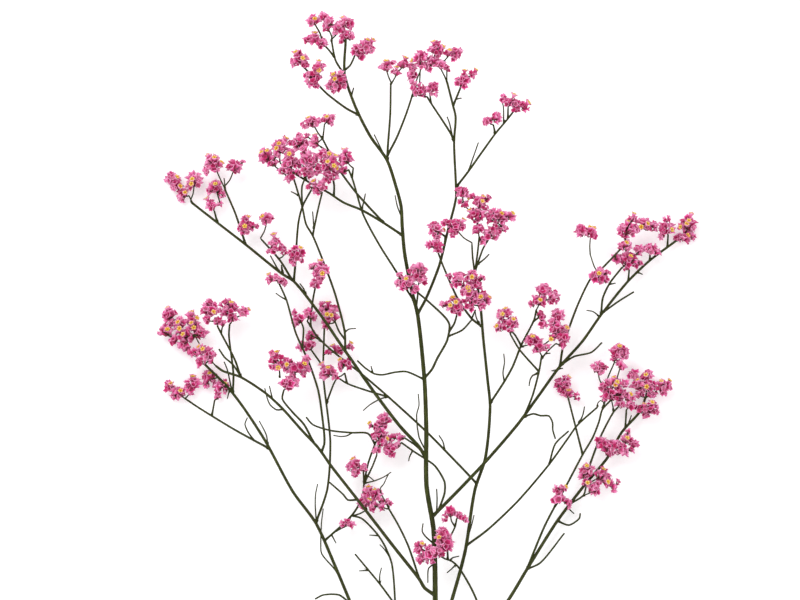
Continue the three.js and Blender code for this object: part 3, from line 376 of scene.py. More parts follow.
# ---- Where the heads are ----
# Each bunch of heads is a list of [x, y, height, radius]. Radius 0 is a bare fork, where twigs part.
# Where no stem ends at a head, its twig starts on a stem or in an earlier head of its bunch.

BUNCHES = {
  "heads_main": [
    [[-59.3, 281.5, 50, 0], [-54.5, 289.5, 51, 4.5], [-49.5, 292, 51, 4.5], [-50.5, 284.5, 51, 4.5],
      [-62, 292.5, 52, 4.5], [-65, 296, 52, 3.5], [-71, 293.5, 51, 4.5], [-71, 282, 50, 4],
      [-65, 279, 50.5, 4]],
    [[-44, 275.5, 51, 4.5], [-38, 277, 52, 5]],
    [[-56, 256, 54, 6.5], [-71, 257.5, 51, 6], [-67.5, 264, 51, 4.5], [-80, 270, 50, 6]],
    [[-22.5, 254.5, 48, 0], [-26, 265, 49, 4.5], [-19, 261, 49, 3], [-14.5, 266, 50, 4],
      [-9, 264, 50, 3]],
    [[-5, 250, 52, 5.5], [3, 251, 52, 5], [-4, 270.5, 53, 5]],
    [[-8, 125.5, 44, 3], [-13, 130, 45, 6], [-5, 133, 45, 5.5], [-6, 139, 46, 4.5]],
  ],
  "heads_top_right": [
    [[19.5, 255, 50, 3.5], [24, 257.5, 51, 4], [28.5, 260, 51, 3]],
    [[12.3, 258, 50.5, 0], [8, 266, 51, 4.5], [3, 268, 51, 4], [6, 276, 52, 5], [14, 272.5, 52, 3.5],
      [19, 273.5, 52, 4]],
    [[37.5, 231, 47, 3.5], [43.5, 233, 47, 4]],
    [[51, 242.5, 48, 4], [47.5, 245, 48, 2.5], [56, 241, 47, 4], [61.5, 240, 47, 4]],
    [[7, 151, 46, 3.8], [2, 154, 46, 3.5], [4.5, 164, 44, 5]],
  ],
  "heads_top_left": [
    [[-61, 197.5, 42, 6], [-67, 189.5, 42, 5], [-60, 204, 46, 6], [-51, 207.5, 44, 5.5],
      [-65, 209, 44, 5], [-73, 200, 40, 6], [-74, 208, 40, 6], [-70.5, 218, 41, 4], [-80, 217, 38, 6],
      [-86, 205, 38, 6], [-86, 195, 36, 3.5], [-90.5, 199.5, 36, 3.5], [-92, 215, 37, 6],
      [-97.5, 205, 35, 4], [-101, 209, 35, 6]],
    [[-65.7, 221, 44, 0], [-72, 230, 46, 5], [-62, 232, 46, 3.8]],
  ],
  "heads_left_high": [
    [[-148, 181.5, 5.3, 0], [-153.5, 185.5, 4.2, 4.5], [-157.5, 191, 4.2, 4.5], [-160.5, 196, 4.4, 4.5],
      [-146, 194, 8, 6]],
    [[-135, 178, 8, 4], [-129.5, 179, 8, 2], [-133, 190, 8, 5]],
    [[-127, 189.5, 16, 0], [-134, 205, 15, 6], [-120.5, 203, 16, 5.5]],
    [[-104.2, 157.5, 15.3, 0], [-113, 165.5, 17, 5.5], [-100, 170.5, 18, 4.5]],
    [[-91.2, 140.5, 15.3, 0], [-94, 153, 18, 6], [-82, 147, 24, 6]],
    [[-67, 137, 29, 6], [-70.5, 129, 25, 3.5]],
    [[-63, 105, 10, 3.5], [-62, 112, 9.5, 6]],
    [[-61.5, 86.5, 9.5, 2.5], [-55.5, 87.5, 9.5, 3.5], [-48.5, 90, 13, 3]],
  ],
  "heads_right_high": [
    [[70, 90, 31, 5], [65, 94, 32, 4.5], [78.5, 95.5, 27, 3], [84.5, 92, 26, 3.5], [85, 96, 27, 5],
      [86, 101, 27, 3.5], [80.5, 101, 27, 5], [79, 105, 27, 4], [82, 110, 28, 4.5]],
    [[53, 105, 34, 5], [47, 103, 33, 5], [49.5, 111, 35, 3.5], [46, 110, 34, 4]],
    [[108.5, 134, 27, 6], [102, 147, 28, 0], [102.5, 161.5, 29, 4.5], [96, 162.5, 29, 4.5]],
    [[124.5, 153.5, 19, 4], [125, 163, 18, 6.5], [127, 144, 13, 6.5], [133, 150, 13, 3.5],
      [140, 151, 13, 5], [137, 166, 16, 5.5], [143, 165.5, 15, 3.5], [150, 164.5, 12, 5]],
    [[162, 159, 4.4, 5], [164, 167, 7, 6]],
    [[-29, 34, 17, 6], [-27, 45, 17, 5], [-35, 41, 16, 2.5], [-24, 25.5, 17, 5], [-31.5, 25, 16, 3],
      [-19, 28, 17, 3], [-17, 33, 17, 3]],
  ],
  "heads_right_mid": [
    [[27, 117, 43, 4], [17, 116, 44, 6], [34, 116, 42, 3.5], [37.5, 118.5, 42, 3.5], [34, 121, 43, 4.5],
      [29, 121, 44, 5], [25, 126, 45, 5], [31.5, 128.5, 45, 4], [28, 133, 46, 5], [19.5, 132, 46, 5]],
    [[28, 154.5, 44.5, 0], [32, 163.5, 46, 4.5], [35, 156, 45, 3], [40, 161, 45, 5.5], [48, 164, 45, 3],
      [31, 172.5, 47, 5.5], [41, 172, 46, 5], [47, 171, 46, 5.5], [52.5, 171.5, 46, 3.5],
      [33, 180, 48, 5], [23, 178.5, 48, 3], [22, 186, 49, 5], [17, 165.5, 48, 5.5]],
    [[71, 118.5, 25, 5], [65.5, 117, 25, 3], [72.5, 125.5, 26, 5], [79.5, 121.5, 26, 4.5],
      [71.5, 109, 25, 3.5], [73, 103.5, 25, 3]],
    [[-57, 71.5, 15, 3.5], [-63.5, 74, 15, 5], [-52, 79, 19, 4.5]],
    [[-74, 111, 11, 4], [-71, 109, 10.5, 3], [-81, 107, 13, 4.5]],
  ],
  "heads_left_mid": [
    [[-131, 106, 29, 3.5], [-137.5, 106.5, 29, 3.5], [-136, 113, 30, 6]],
    [[-94.5, 132.5, 25, 3.5], [-98.5, 132, 25, 3], [-90, 131, 25, 3]],
    [[-86.5, 67, 30, 6], [-82.5, 77, 31, 6], [-77, 78, 30, 5], [-87, 80, 31, 4], [-95, 80, 30, 5.5]],
    [[-28, -10, 17, 3], [-24, -7.5, 17, 3], [-32, -3, 16, 4.5], [-34, -9.5, 16, 3.5],
      [-38, -2, 15.5, 4.5], [-39, -8, 16, 4.5]],
  ],
  "heads_left_low": [
    [[-40, 14, 16, 3.5], [-46, 16, 16, 5]],
    [[-50.5, -20.5, 12.5, 3], [-53.5, -21, 12.5, 2.5], [-47, -22, 12.5, 2.3]],
    [[-156, 61, 6, 5], [-161, 65, 6, 4], [-147, 67, 6, 5.5], [-137, 71, 6, 4.5], [-131, 64, 5, 4],
      [-127, 66, 5, 4], [-131, 58.5, 5, 2.5]],
    [[-122, 108, 16, 4], [-125, 114, 16, 6.5], [-114.5, 111.5, 16, 4]],
    [[-136, 85.5, 19, 4.5], [-142, 80.5, 18, 4], [-141, 88, 18, 4], [-147.5, 86, 17, 3],
      [-145.5, 97, 13, 0], [-146.5, 103, 11, 5], [-142, 99, 12, 5], [-147.5, 108, 11, 4.5],
      [-153, 97, 10, 5], [-153, 91, 10, 4.5], [-159, 94, 9, 4], [-155, 104, 10, 5], [-164, 99.5, 8, 5],
      [-162, 110, 8, 5]],
    [[-73, 91, 8.5, 4], [-73, 97, 7.5, 4], [-79, 90, 8.5, 3]],
  ],
  "heads_right_low": [
    [[113.5, 61, 16, 4.5], [111.5, 58, 16, 3], [110, 65, 16, 3.5], [118.5, 67, 17, 4.5], [121, 60, 16, 5],
      [121, 54, 15, 3.5], [127, 58, 16, 4.5], [127, 53, 15, 3.5], [107, 77, 17, 5], [121.5, 78, 16, 3.5],
      [118.5, 83, 16, 4], [117.5, 87, 16, 3.5], [122, 88, 16, 4.5], [123.5, 83.5, 16, 3.5]],
    [[139, 66, 10, 4.5], [138, 72, 10, 4.5], [132, 66, 9.5, 5], [129, 72, 9.5, 4], [133, 60, 9, 3],
      [142, 60, 10, 3], [147, 66, 10, 4], [148, 61.5, 10, 3.5], [151.5, 66, 9, 3], [141.5, 52.5, 12, 4],
      [138.5, 49.5, 13, 4], [134, 51, 13.5, 4]],
    [[114, 23, 13, 3], [114, 27, 13.5, 4.5], [109, 30, 14.5, 4], [119, 28, 13.5, 4], [123, 25, 13, 4.5],
      [128.5, 25, 12, 2.5], [125.5, 32, 13, 4.5], [130, 29, 12, 3.5], [126, 37, 13, 1.8]],
    [[101, 4.5, 12.5, 3.5], [100, 12, 13, 5], [96.5, 8.5, 12, 3], [104.5, 0.5, 12.5, 4.5],
      [109, 9, 13, 5], [113.5, 4.5, 12.5, 4], [117.5, 1, 12, 3], [119.5, 5, 12, 2]],
    [[83, -5, 16, 4.5], [82, 0.5, 16, 3.5], [85.5, 1.3, 16, 3], [88.5, -8, 15, 3]],
    [[88.5, 60, 9, 4], [85.5, 64, 9, 4], [82.5, 67, 9, 3.5], [87, 68.5, 9.5, 3.5], [94, 58.5, 9, 2.5]],
    [[7, -38, 30, 5], [1, -38, 30, 5], [1, -43, 30, 4], [-5, -35, 30, 4], [-4, -42.5, 30, 4],
      [12, -34, 30, 5], [8, -30, 31, 4], [10, -26, 31, 4.5]],
    [[15, -13.5, 27, 4], [11, -17, 27, 2.5], [20, -15.5, 27, 3.5], [24, -18, 27, 2.5]],
  ],
}

# Small heads that stand beside the ones above, which only this script makes: [x, y, radius]. Each
# joins the bunch of the head nearest to it, at that head's height.
SMALL_HEADS = [
  [-85.5, 211, 3.5], [-77, 212.5, 3.5], [-69.5, 203.5, 3], [-80.5, 204.5, 3], [-86, 199.5, 3],
  [-80.8, 198.5, 3], [-67, 200.5, 3], [-52.5, 200, 3], [-75, 221.5, 2.2], [-94, 209, 2.4],
  [-73.8, 189.5, 2.2], [-85.5, 217.5, 2.2], [-58.8, 233, 2.4], [-66.5, 230.8, 2.2], [-77, 228.3, 2.2],
  [-59.8, 228.8, 2.2], [-9.5, 259, 3.5], [-9, 254.5, 2.8], [-4, 265.8, 3.4], [0.5, 263.5, 2.8],
  [-82, 266.5, 3], [-76, 265.5, 3], [-62.8, 288, 2.8], [-56.8, 286.5, 3], [-53.5, 280.8, 2.5],
  [-41.5, 271.8, 3.4], [-61.5, 252.8, 3], [-52, 253, 3], [-7, 248.5, 3], [12.3, 263, 2.4],
  [6.3, 272, 2.2], [17, 270, 2.2], [28.8, 259, 2.3], [23, 253.3, 2.2], [-75.3, 281, 2.8],
  [-67.5, 278.5, 2.2], [19, 112, 3.2], [27.5, 113.8, 2.8], [-18.5, 129.8, 3], [6, 159, 2.9],
  [10.8, 167, 2.5], [31, 168.8, 2.6], [43, 166.5, 2.5], [22.6, 165, 2.3], [16.8, 160.8, 2.4],
  [-10.3, 137, 2.5], [-2, 137.5, 2.7], [16, 128.8, 2.5], [9.6, 116.3, 2.7], [34.5, 133.2, 2.2],
  [36.8, 176, 2.2], [39, 170.5, 2.2], [27.5, 171, 2.2], [28, 183.5, 2.4], [38.3, 182.8, 1.8],
  [128.5, 170, 3], [119, 145.3, 3.2], [131.3, 163.5, 3], [146.8, 159.3, 2.8], [157, 157.6, 2.9],
  [166.6, 159, 2.8], [144, 149, 2.8], [150.3, 169.8, 2.7], [133.5, 142.3, 2.1], [94.7, 164, 2.2],
  [113, 136, 2.2], [111.5, 131.5, 2.2], [121.5, 151.8, 2.2], [77, 118.3, 2.6], [109, 74.3, 2.8],
  [111.5, 76.8, 2], [124, 66.7, 3], [112.5, 67.3, 2.5], [117, 57.3, 2.5], [134.3, 62, 2.2],
  [143.6, 63.9, 2.2], [151.6, 63.3, 2.4], [143.5, 49.2, 2.7], [136.8, 47, 2.2], [119.3, 23.5, 2.5],
  [107, 4.3, 2.8], [104.5, -2, 2.4], [113.5, 8.6, 2.2], [98.5, 3.8, 2], [88.8, -10.8, 2.1],
  [-147.5, 95.2, 3], [-149.5, 88.8, 2.5], [-145, 85, 2.4], [-135, 81, 2.8], [-128, 104.5, 2.9],
  [-136.5, 118, 2.6], [-125.3, 118, 2.8], [-160, 104.8, 2.7], [-167, 99, 2.2], [-148.5, 61.7, 3],
  [-138.3, 66, 2.5], [-126.6, 61.6, 2.1], [-159, 58.8, 2.3], [-82, 68, 3.2], [-84, 72.6, 3],
  [-77.3, 72.3, 2.7], [-75.3, 82.3, 3], [-57.5, 107.2, 3.1], [-69.6, 96.3, 2.5], [-80.5, 104.4, 2.3],
  [-64, 102.5, 2.3], [-54, 76, 2.3], [-74, 75, 2.2], [-138.6, 199.7, 2.9], [-132, 201.3, 2.9],
  [-129.3, 186, 3.1], [-127.5, 185, 2.2], [-136.3, 187, 2.6], [-154, 182, 2.6], [-149.3, 189.3, 2.4],
  [-115.3, 205.3, 1.9], [-119, 199, 2.1], [-88.8, 148.5, 2.7], [-98.5, 149, 2.1], [-84, 142.3, 2.5],
  [-66.5, 131.5, 3.1], [-114, 169.8, 2.2], [-115.5, 161.5, 2.2], [-107, 165, 1.7], [-102, 167.8, 2.2],
  [-89, 128.8, 2], [-30.5, 39.5, 3.5], [-29.5, 29, 2.5], [-22, 33, 2.9], [-26.5, 40.6, 2.7],
  [-49.5, 14.7, 2.4], [-45.3, 10.8, 2.9], [-41, -8, 2.7], [13.2, -29.5, 2.7], [-32.7, 24, 2.1],
  [-21.5, 23, 2.6], [-34.5, -12, 2], [48, 245.5, 2], [56, 237.5, 2.4], [-57, 114, 2.8], [-72, 140, 2.7],
  [-17, 134.5, 2.5], [45, 162, 2.4], [-58.3, 250, 2.4], [52, 100, 2.3], [75, 90, 2.3], [-134, 68, 2.2],
  [6, 155, 2.2], [-21, 267, 2.1], [-29, -6, 2.1], [21, 181, 2.1], [-7, -38, 2.1], [-97, 86, 2.1],
  [139.5, 59, 2.2], [-66, 116, 2.1], [14, 134, 2.1], [-34, 275, 2.1], [-83, 111, 2.1], [125, 139, 2.1],
  [124, 158, 2.1], [-80, 222, 2.1], [-89, 75, 2.1],
]

# Where a small yellow flower is open in one of the funnels, [x, y].
OPEN_FLOWERS = [
  [-52.5, 295], [-70, 294], [-70, 285.5], [-33.5, 281], [-37, 281], [-67.5, 268], [-67.5, 262],
  [-82, 273.5], [-77.5, 269.5], [-58.5, 259.5], [-57.5, 256.5], [-25.5, 268], [-19, 264], [-13.5, 270],
  [-9.5, 268], [4, 280], [10, 277], [14, 274.5], [23.5, 262], [30.5, 262.5], [54.5, 247], [63.5, 242],
  [-74, 232.5], [-62.5, 233], [-71, 193], [-62, 205], [-58, 202.5], [-56.5, 201], [-57, 209],
  [-51.5, 213], [-61, 210], [-86, 210], [-70, 222], [-92.5, 216.5], [-94, 213.5], [-88, 220],
  [-103.5, 211], [-100, 212], [-156.5, 196], [-154.5, 190], [-151.5, 186], [-147, 194.5], [-147.5, 191.5],
  [-138, 182.5], [-132.5, 191.5], [-137.5, 209.5], [-133, 208], [-128.5, 205], [-112, 171], [-114, 165],
  [-103, 171], [-96, 160], [-79, 151.5], [26.5, 175], [46.5, 172.7], [53.5, 173], [35, 183.5],
  [34.5, 180.3], [26, 182.5], [10.5, 162.5], [23, 169], [-66.5, 143.5], [-65.5, 135.5], [-13, 132],
  [39, 120.5], [33.5, 120.8], [25.5, 126.5], [26, 124.8], [28, 133.2], [16, 120.5], [18, 117.5],
  [14.5, 115.5], [107.5, 135.5], [102, 164.5], [104.5, 164], [124.8, 154.7], [129.5, 173], [125.5, 168],
  [127.5, 146.3], [134, 164.5], [138, 166.5], [153.3, 162.8], [163.5, 159.3], [165.5, 173], [164, 168.5],
  [162.7, 166.5], [158.7, 164.5], [-99, 135], [-62, 117.5], [-62.5, 109.8], [-60, 109.3], [-59, 90.5],
  [-47.5, 92], [-62, 76.5], [-66, 79], [-54.5, 81.5], [-25, 32], [-36, 41.8], [-36.5, 2], [-33, 0],
  [-36, -6], [-46.5, 19.5], [-3, -33.5], [7.5, -29.5], [-143, 89.5], [-140.3, 88.2], [-147.5, 104.5],
  [-146, 101.5], [-147.5, 111.5], [-144, 107.5], [-156, 105], [-155, 101], [-152.8, 97.3],
  [-162.5, 100.5], [-162.5, 114], [-133.3, 111.3], [-122.5, 117.3], [-111.5, 113], [-126.5, 66.5],
  [-136, 73], [-146.5, 71], [-154.3, 62], [-160.5, 66.5], [-76.5, 79], [-87.5, 78.5], [-94, 86.5],
  [-93, 76.5], [54, 106.8], [43.5, 102.5], [47, 110], [49, 113.5], [70.7, 118.8], [66, 96], [77.5, 94.3],
  [87.5, 101.5], [88.7, 62.3], [89, 70.7], [119, 67.5], [117, 70.5], [117.8, 65.7], [127.5, 59.8],
  [120.5, 90], [131.8, 68.7], [137.5, 64.5], [137, 72], [146.7, 68], [152, 68.5], [136, 53.7],
  [141, 54.8], [125.3, 32.5], [100.5, 4.3], [100, 15], [110.5, 13], [113.3, 5], [87, 2],
]

rng = np.random.default_rng(SEED)


# ---- Meshes ----

def unit(v):
    return v / np.linalg.norm(v)


def angles_round(count):
    return np.arange(count) / count * 2 * math.pi


def frame_about(axis):
    """Two unit vectors square to an axis and to each other, and the axis as a unit vector."""
    axis = unit(axis)
    helper = np.array([1.0, 0.0, 0.0]) if abs(axis[2]) > 0.9 else np.array([0.0, 0.0, 1.0])
    u = unit(np.cross(axis, helper))
    return u, np.cross(axis, u), axis


def ring(middle, u, v, angles, radius):
    """The corners of a ring about a middle, in the plane of u and v."""
    return middle + np.outer(np.cos(angles) * radius, u) + np.outer(np.sin(angles) * radius, v)


def ring_faces(rings, around):
    """The faces of a closed tube of rings, each of as many corners."""
    faces = []
    for i in range(rings - 1):
        for k in range(around):
            a = i * around + k
            b = i * around + (k + 1) % around
            faces.append((a, b, b + around, a + around))
    faces.append(tuple(reversed(range(around))))
    faces.append(tuple(range((rings - 1) * around, rings * around)))
    return faces


def above_the_table(corners):
    """Presses together what would sink into the table, and leaves the rest as it is."""
    low = corners[:, 2] < PRESSED_BELOW
    corners[low, 2] = PRESSED_BELOW * np.exp((corners[low, 2] - PRESSED_BELOW) / PRESSED_BELOW)
    return corners


def add_to_scene(name, data, place=(0, 0, 0)):
    thing = bpy.data.objects.new(name, data)
    thing.location = place
    bpy.context.scene.collection.objects.link(thing)
    return thing


class Builder:
    """Gathers corners, faces and values on the corners, and makes one mesh piece of them."""

    def __init__(self, *value_names):
        self.corners = []
        self.faces = []
        self.values = {name: [] for name in value_names}
        self.count = 0

    def add(self, corners, faces, **values):
        corners = above_the_table(np.array(corners, dtype=float))
        self.corners.append(corners)
        self.faces.extend(tuple(i + self.count for i in face) for face in faces)
        for name, given in self.values.items():
            given.append(np.broadcast_to(np.asarray(values[name], dtype=float), (len(corners),)))
        self.count += len(corners)

    def piece(self, name, look, slot, replaces=()):
        mesh = bpy.data.meshes.new(name)
        mesh.from_pydata((np.vstack(self.corners) - MIDDLE) * MM, [], self.faces)
        for value_name, given in self.values.items():
            layer = mesh.attributes.new(value_name, "FLOAT", "POINT")
            layer.data.foreach_set("value", np.concatenate(given))
        mesh.materials.append(look)
        mesh.polygons.foreach_set("use_smooth", [True] * len(mesh.polygons))
        mesh.update()
        piece = add_to_scene(name, mesh)
        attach(piece, "root")
        if replaces:
            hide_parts(*replaces)


def stalk_builder():
    return Builder("turn_x", "turn_y", "along", "dry", "flush")


# ---- Stems ----

@dataclass
class Stem:
    foot: float         # its width at its foot
    tip: float          # its width at its tip
    points: list        # its middle line
    fine: bool          # whether it is one of the finest twigs


def lengths_along(points):
    return np.concatenate([[0], np.cumsum(np.linalg.norm(np.diff(points, axis=0), axis=1))])


def with_heights(route):
    """The points of a route, with the heights that it leaves out filled in along its length."""
    flat = np.array([point[:2] for point in route], dtype=float)
    along = lengths_along(flat)
    known = [i for i, point in enumerate(route) if len(point) == 3]
    heights = np.interp(along, along[known], [route[i][2] for i in known])
    return list(np.column_stack([flat, heights]))


def nearest_on_stems(stems, x, y):
    """The place nearest to (x, y), seen from above, on the stems' middle lines, and the width there."""
    found = []
    for stem in stems:
        for i, (a, b) in enumerate(zip(stem.points, stem.points[1:])):
            along = (b - a)[:2]
            share = np.clip(np.dot([x - a[0], y - a[1]], along) / max(np.dot(along, along), 1e-9), 0, 1)
            place = a + share * (b - a)
            width = stem.foot + (stem.tip - stem.foot) * (i + share) / (len(stem.points) - 1)
            found.append((math.dist(place[:2], (x, y)), place, width))
    _, place, width = min(found, key=lambda entry: entry[0])
    return place, width


def curve_point(points, times, at):
    """Where a curve through four timed points is at a time between the second's and the third's."""
    t0, t1, t2, t3 = times
    for spans in ([(t0, t1), (t1, t2), (t2, t3)], [(t0, t2), (t1, t3)], [(t1, t2)]):
        points = [((end - at) * a + (at - start) * b) / (end - start)
                  for a, b, (start, end) in zip(points, points[1:], spans)]
    return points[0]


def smooth(points, step=STEM_STEP):
    """A line through the points that is a little rounded at each, with a point about every step.

    The time from point to point grows with the root of their distance, which keeps the line from
    swinging out where they are unevenly spaced."""
    if len(points) == 2:
        points = [points[0], (points[0] + points[1]) / 2, points[1]]
    ends = [2 * points[0] - points[1], *points, 2 * points[-1] - points[-2]]
    line = []
    for four in zip(ends, ends[1:], ends[2:], ends[3:]):
        start, end = four[1:3]
        roots = [max(np.linalg.norm(b - a), 1e-6) ** 0.5 for a, b in zip(four, four[1:])]
        times = np.cumsum([0, *roots])
        steps = max(1, round(np.linalg.norm(end - start) / step))
        for s in range(steps):
            straight = start + (end - start) * s / steps
            curve = curve_point(four, times, times[1] + (times[2] - times[1]) * s / steps)
            line.append(straight + (curve - straight) * ROUNDNESS)
    line.append(points[-1])
    return line


def grow(branch, parents):
    """The stems of one branch, with their middle lines smoothed."""
    stems = []
    for number, (foot, tip, *route) in enumerate(STEMS[branch] + FINE_TWIGS[branch]):
        if len(route[0]) == 2:
            route[0], width = nearest_on_stems(stems or parents, *route[0])
            foot = min(foot, FOOT_SHARE * width)
            tip = min(tip, foot)
        fine = number >= len(STEMS[branch])
        stems.append(Stem(foot + FIBRES, tip + FIBRES, smooth(with_heights(route)), fine))
    return stems


def add_tube(builder, points, foot, tip, flare=0.0, *, around):
    """A round stem that tapers, swells a little at its foot, and has slightly uneven sides."""
    points = np.array(points)
    along = lengths_along(points)
    headings = np.gradient(points, axis=0)
    u, _, _ = frame_about(headings[0])
    phase = rng.uniform(0, 2 * math.pi)
    angles = angles_round(around)
    corners = []
    for point, heading, length in zip(points, headings, along):
        axis = unit(heading)
        u = unit(u - np.dot(u, axis) * axis)
        v = np.cross(axis, u)
        radius = (foot + (tip - foot) * length / along[-1]) / 2
        radius *= 1 + flare * math.exp(-length / max(foot, 0.5))
        uneven = 1 + THREE_SIDED * np.sin(3 * angles + phase + length * TWIST) \
            + WAVER * math.sin(length * WAVER_PACE)
        corners.append(ring(point, u, v, angles, radius * uneven))
    corners.append(ring(points[-1] + axis * radius * TIP_SHARE, u, v, angles, radius * TIP_SHARE))
    builder.add(np.vstack(corners), ring_faces(len(corners), around), flush=0,
                turn_x=np.tile(np.cos(angles), len(corners)),
                turn_y=np.tile(np.sin(angles), len(corners)),
                along=np.repeat([*along, along[-1]], around),
                dry=rng.uniform(0 if foot > DRY_BELOW else LEAST_DRY, 1))


def add_cut_face(builder, stem):
    """The face of a clean cut across a stem's foot, a little proud of it."""
    u, v, inward = frame_about(stem.points[1] - stem.points[0])
    shares_and_depths = [(0.15, -0.12), (0.5, -0.12), (0.85, -0.12), (0.95, -0.06), (0.95, 0.3)]
    corners = [ring(stem.points[0] + inward * depth, u, v, angles_round(CUT_SIDES), share * stem.foot / 2)
               for share, depth in shares_and_depths]
    builder.add(np.vstack(corners), ring_faces(len(corners), CUT_SIDES),
                out=np.repeat([share for share, _ in shares_and_depths], CUT_SIDES))


def add_bract(builder, place, axis, outward, length, flush=0):
    """A small dry pointed scale that clasps a stem at a fork, or a funnel at its foot."""
    axis = unit(axis)
    side = unit(np.cross(axis, outward))
    out = np.cross(side, axis)
    corners = []
    for share in (0, 0.35, 0.7, 1.0):
        half = length * 0.32 * math.sin(math.pi * (0.35 + 0.62 * share))
        lift = length * (0.12 + 0.25 * share ** 2)
        middle = place + axis * length * share + out * lift
        for across, bulge in ((-1, 0), (0, 0.14), (1, 0), (0, 0.04)):
            corners.append(middle + side * across * half + out * (bulge * length * (1 - share) + 0.02))
    builder.add(corners, ring_faces(4, 4), turn_x=0, turn_y=0, along=0, dry=1.0, flush=flush)


# ---- Funnels and flowers ----

def funnel_template():
    """One papery funnel along +Z, of full size: its corners, its faces, and values on the corners."""
    angles = angles_round(FUNNEL_SIDES)
    lobe = abs(np.cos(angles * LOBES / 2))      # 1 at a lobe's middle, 0 between two lobes
    size = rng.uniform(0.8, 1.16, FUNNEL_SIDES)
    ruffle = rng.uniform(-1, 1, FUNNEL_SIDES)
    opened = rng.uniform(0.72, 1.1)
    rings = [(*row, 0) for row in FUNNEL_RINGS] + [(*row, 1) for row in reversed(FUNNEL_RINGS[1:])]
    corners = []
    for share, radius, lobed, inside in rings:
        inset = FUNNEL_THICKNESS * inside
        reach = radius * (1 - 0.36 * lobed * (1 - lobe)) * (1 + (opened * size - 1) * lobed) - inset
        height = FUNNEL_LENGTH * share + lobed * (0.6 * ruffle + 0.35 * lobe) + inset
        corners.append(np.stack([reach * np.cos(angles), reach * np.sin(angles), height], 1))
    values = {"out": np.repeat([share for share, _, _, _ in rings], FUNNEL_SIDES),
              "rib": np.tile(lobe, len(rings)),
              "inside": np.repeat([inside for _, _, _, inside in rings], FUNNEL_SIDES)}
    return np.vstack(corners), ring_faces(len(rings), FUNNEL_SIDES), values


def flower_template():
    """A small cupped flower of five round petals, which opens along +Z: corners, faces and values."""
    corners, faces, out = [], [], []
    for turn in angles_round(5):
        faces += [tuple(len(corners) + i for i in face) for face in ring_faces(4, 4)]
        for reach, half, height in ((0.1, 0.15, 0), (0.5, 0.42, 0.32), (0.85, 0.46, 0.5), (1, 0.24, 0.5)):
            for across, rise in ((-1, 0.0), (0, 0.14), (1, 0.0), (0, -0.06)):
                x, y = reach, across * half
                corners.append([x * math.cos(turn) - y * math.sin(turn),
                                x * math.sin(turn) + y * math.cos(turn), height + rise])
                out.append(reach)
    return np.array(corners), faces, {"out": np.array(out)}


def place_template(corners, base, direction, roll, wide, tall):
    """A template's corners, rolled about +Z, widened, stretched and set on base along direction."""
    u, v, w = frame_about(direction)
    turned_u = u * math.cos(roll) + v * math.sin(roll)
    return base + (corners * [wide, wide, tall]) @ np.array([turned_u, np.cross(w, turned_u), w])


def spread_directions(count, turn):
    """As many directions, spread evenly over a sphere that is turned about +Z."""
    i = np.arange(count) + 0.5
    polar = np.arccos(1 - 2 * i / count)
    azimuth = math.pi * (1 + 5 ** 0.5) * i + turn
    return np.stack([np.sin(polar) * np.cos(azimuth), np.sin(polar) * np.sin(azimuth), np.cos(polar)], 1)


# ---- Heads ----

@dataclass
class Head:
    place: np.ndarray
    radius: float                                   # 0 for a bare fork, where twigs part
    flowers: list = field(default_factory=list)     # where its open flowers are, (x, y)
    tips: list = field(default_factory=list)        # the ends of the stems that carry it

    def distance(self, x, y):
        """How far its middle is from (x, y), seen from above."""
        return math.dist(self.place[:2], (x, y))


def read_heads():
    """The bunches of heads of each group, with the small heads added to them."""
    groups = {group: [[Head(np.array(row[:3], dtype=float), row[3]) for row in bunch] for bunch in bunches]
              for group, bunches in BUNCHES.items()}
    large = [(head, bunch) for bunches in groups.values() for bunch in bunches for head in bunch
             if head.radius]
    for x, y, radius in SMALL_HEADS:
        nearest, bunch = min(large, key=lambda pair: pair[0].distance(x, y) - pair[0].radius)
        bunch.append(Head(np.array([x, y, nearest.place[2]]), radius))
    return groups


def hand_out(heads, stems):
    """Gives each open flower, and each stem's end, to the head that has it."""
    blooming = [head for head in heads if head.radius]
    for x, y in OPEN_FLOWERS:
        nearest = min(blooming, key=lambda head: head.distance(x, y) / head.radius)
        nearest.flowers.append((x, y))
    for stem in stems:
        end = stem.points[-1]
        gaps = [np.linalg.norm(end - head.place) - head.radius for head in heads]
        if min(gaps) < (FINE_TIP_REACH if stem.fine else TIP_REACH):
            heads[gaps.index(min(gaps))].tips.append(end)


def anchor_of(head, earlier, stems):
    """Where a head's twig starts: on a stem, or in an earlier head of its bunch, near and below it."""
    growth = unit(head.place - GROWTH_POINT)

    def cost(anchor):
        """The length of a twig from there, and more if it is long and runs against the growth."""
        away = head.place - anchor
        distance = np.linalg.norm(away)
        return distance + 2 * max(0.0, distance - 6) * max(0.0, 0.5 - np.dot(away, growth) / distance)

    on_stem = min((point for stem in stems if not stem.fine for point in stem.points), key=cost)
    in_head = min((other.place for other in earlier), key=cost, default=on_stem)
    return in_head if HEAD_COST * cost(in_head) <= cost(on_stem) else on_stem


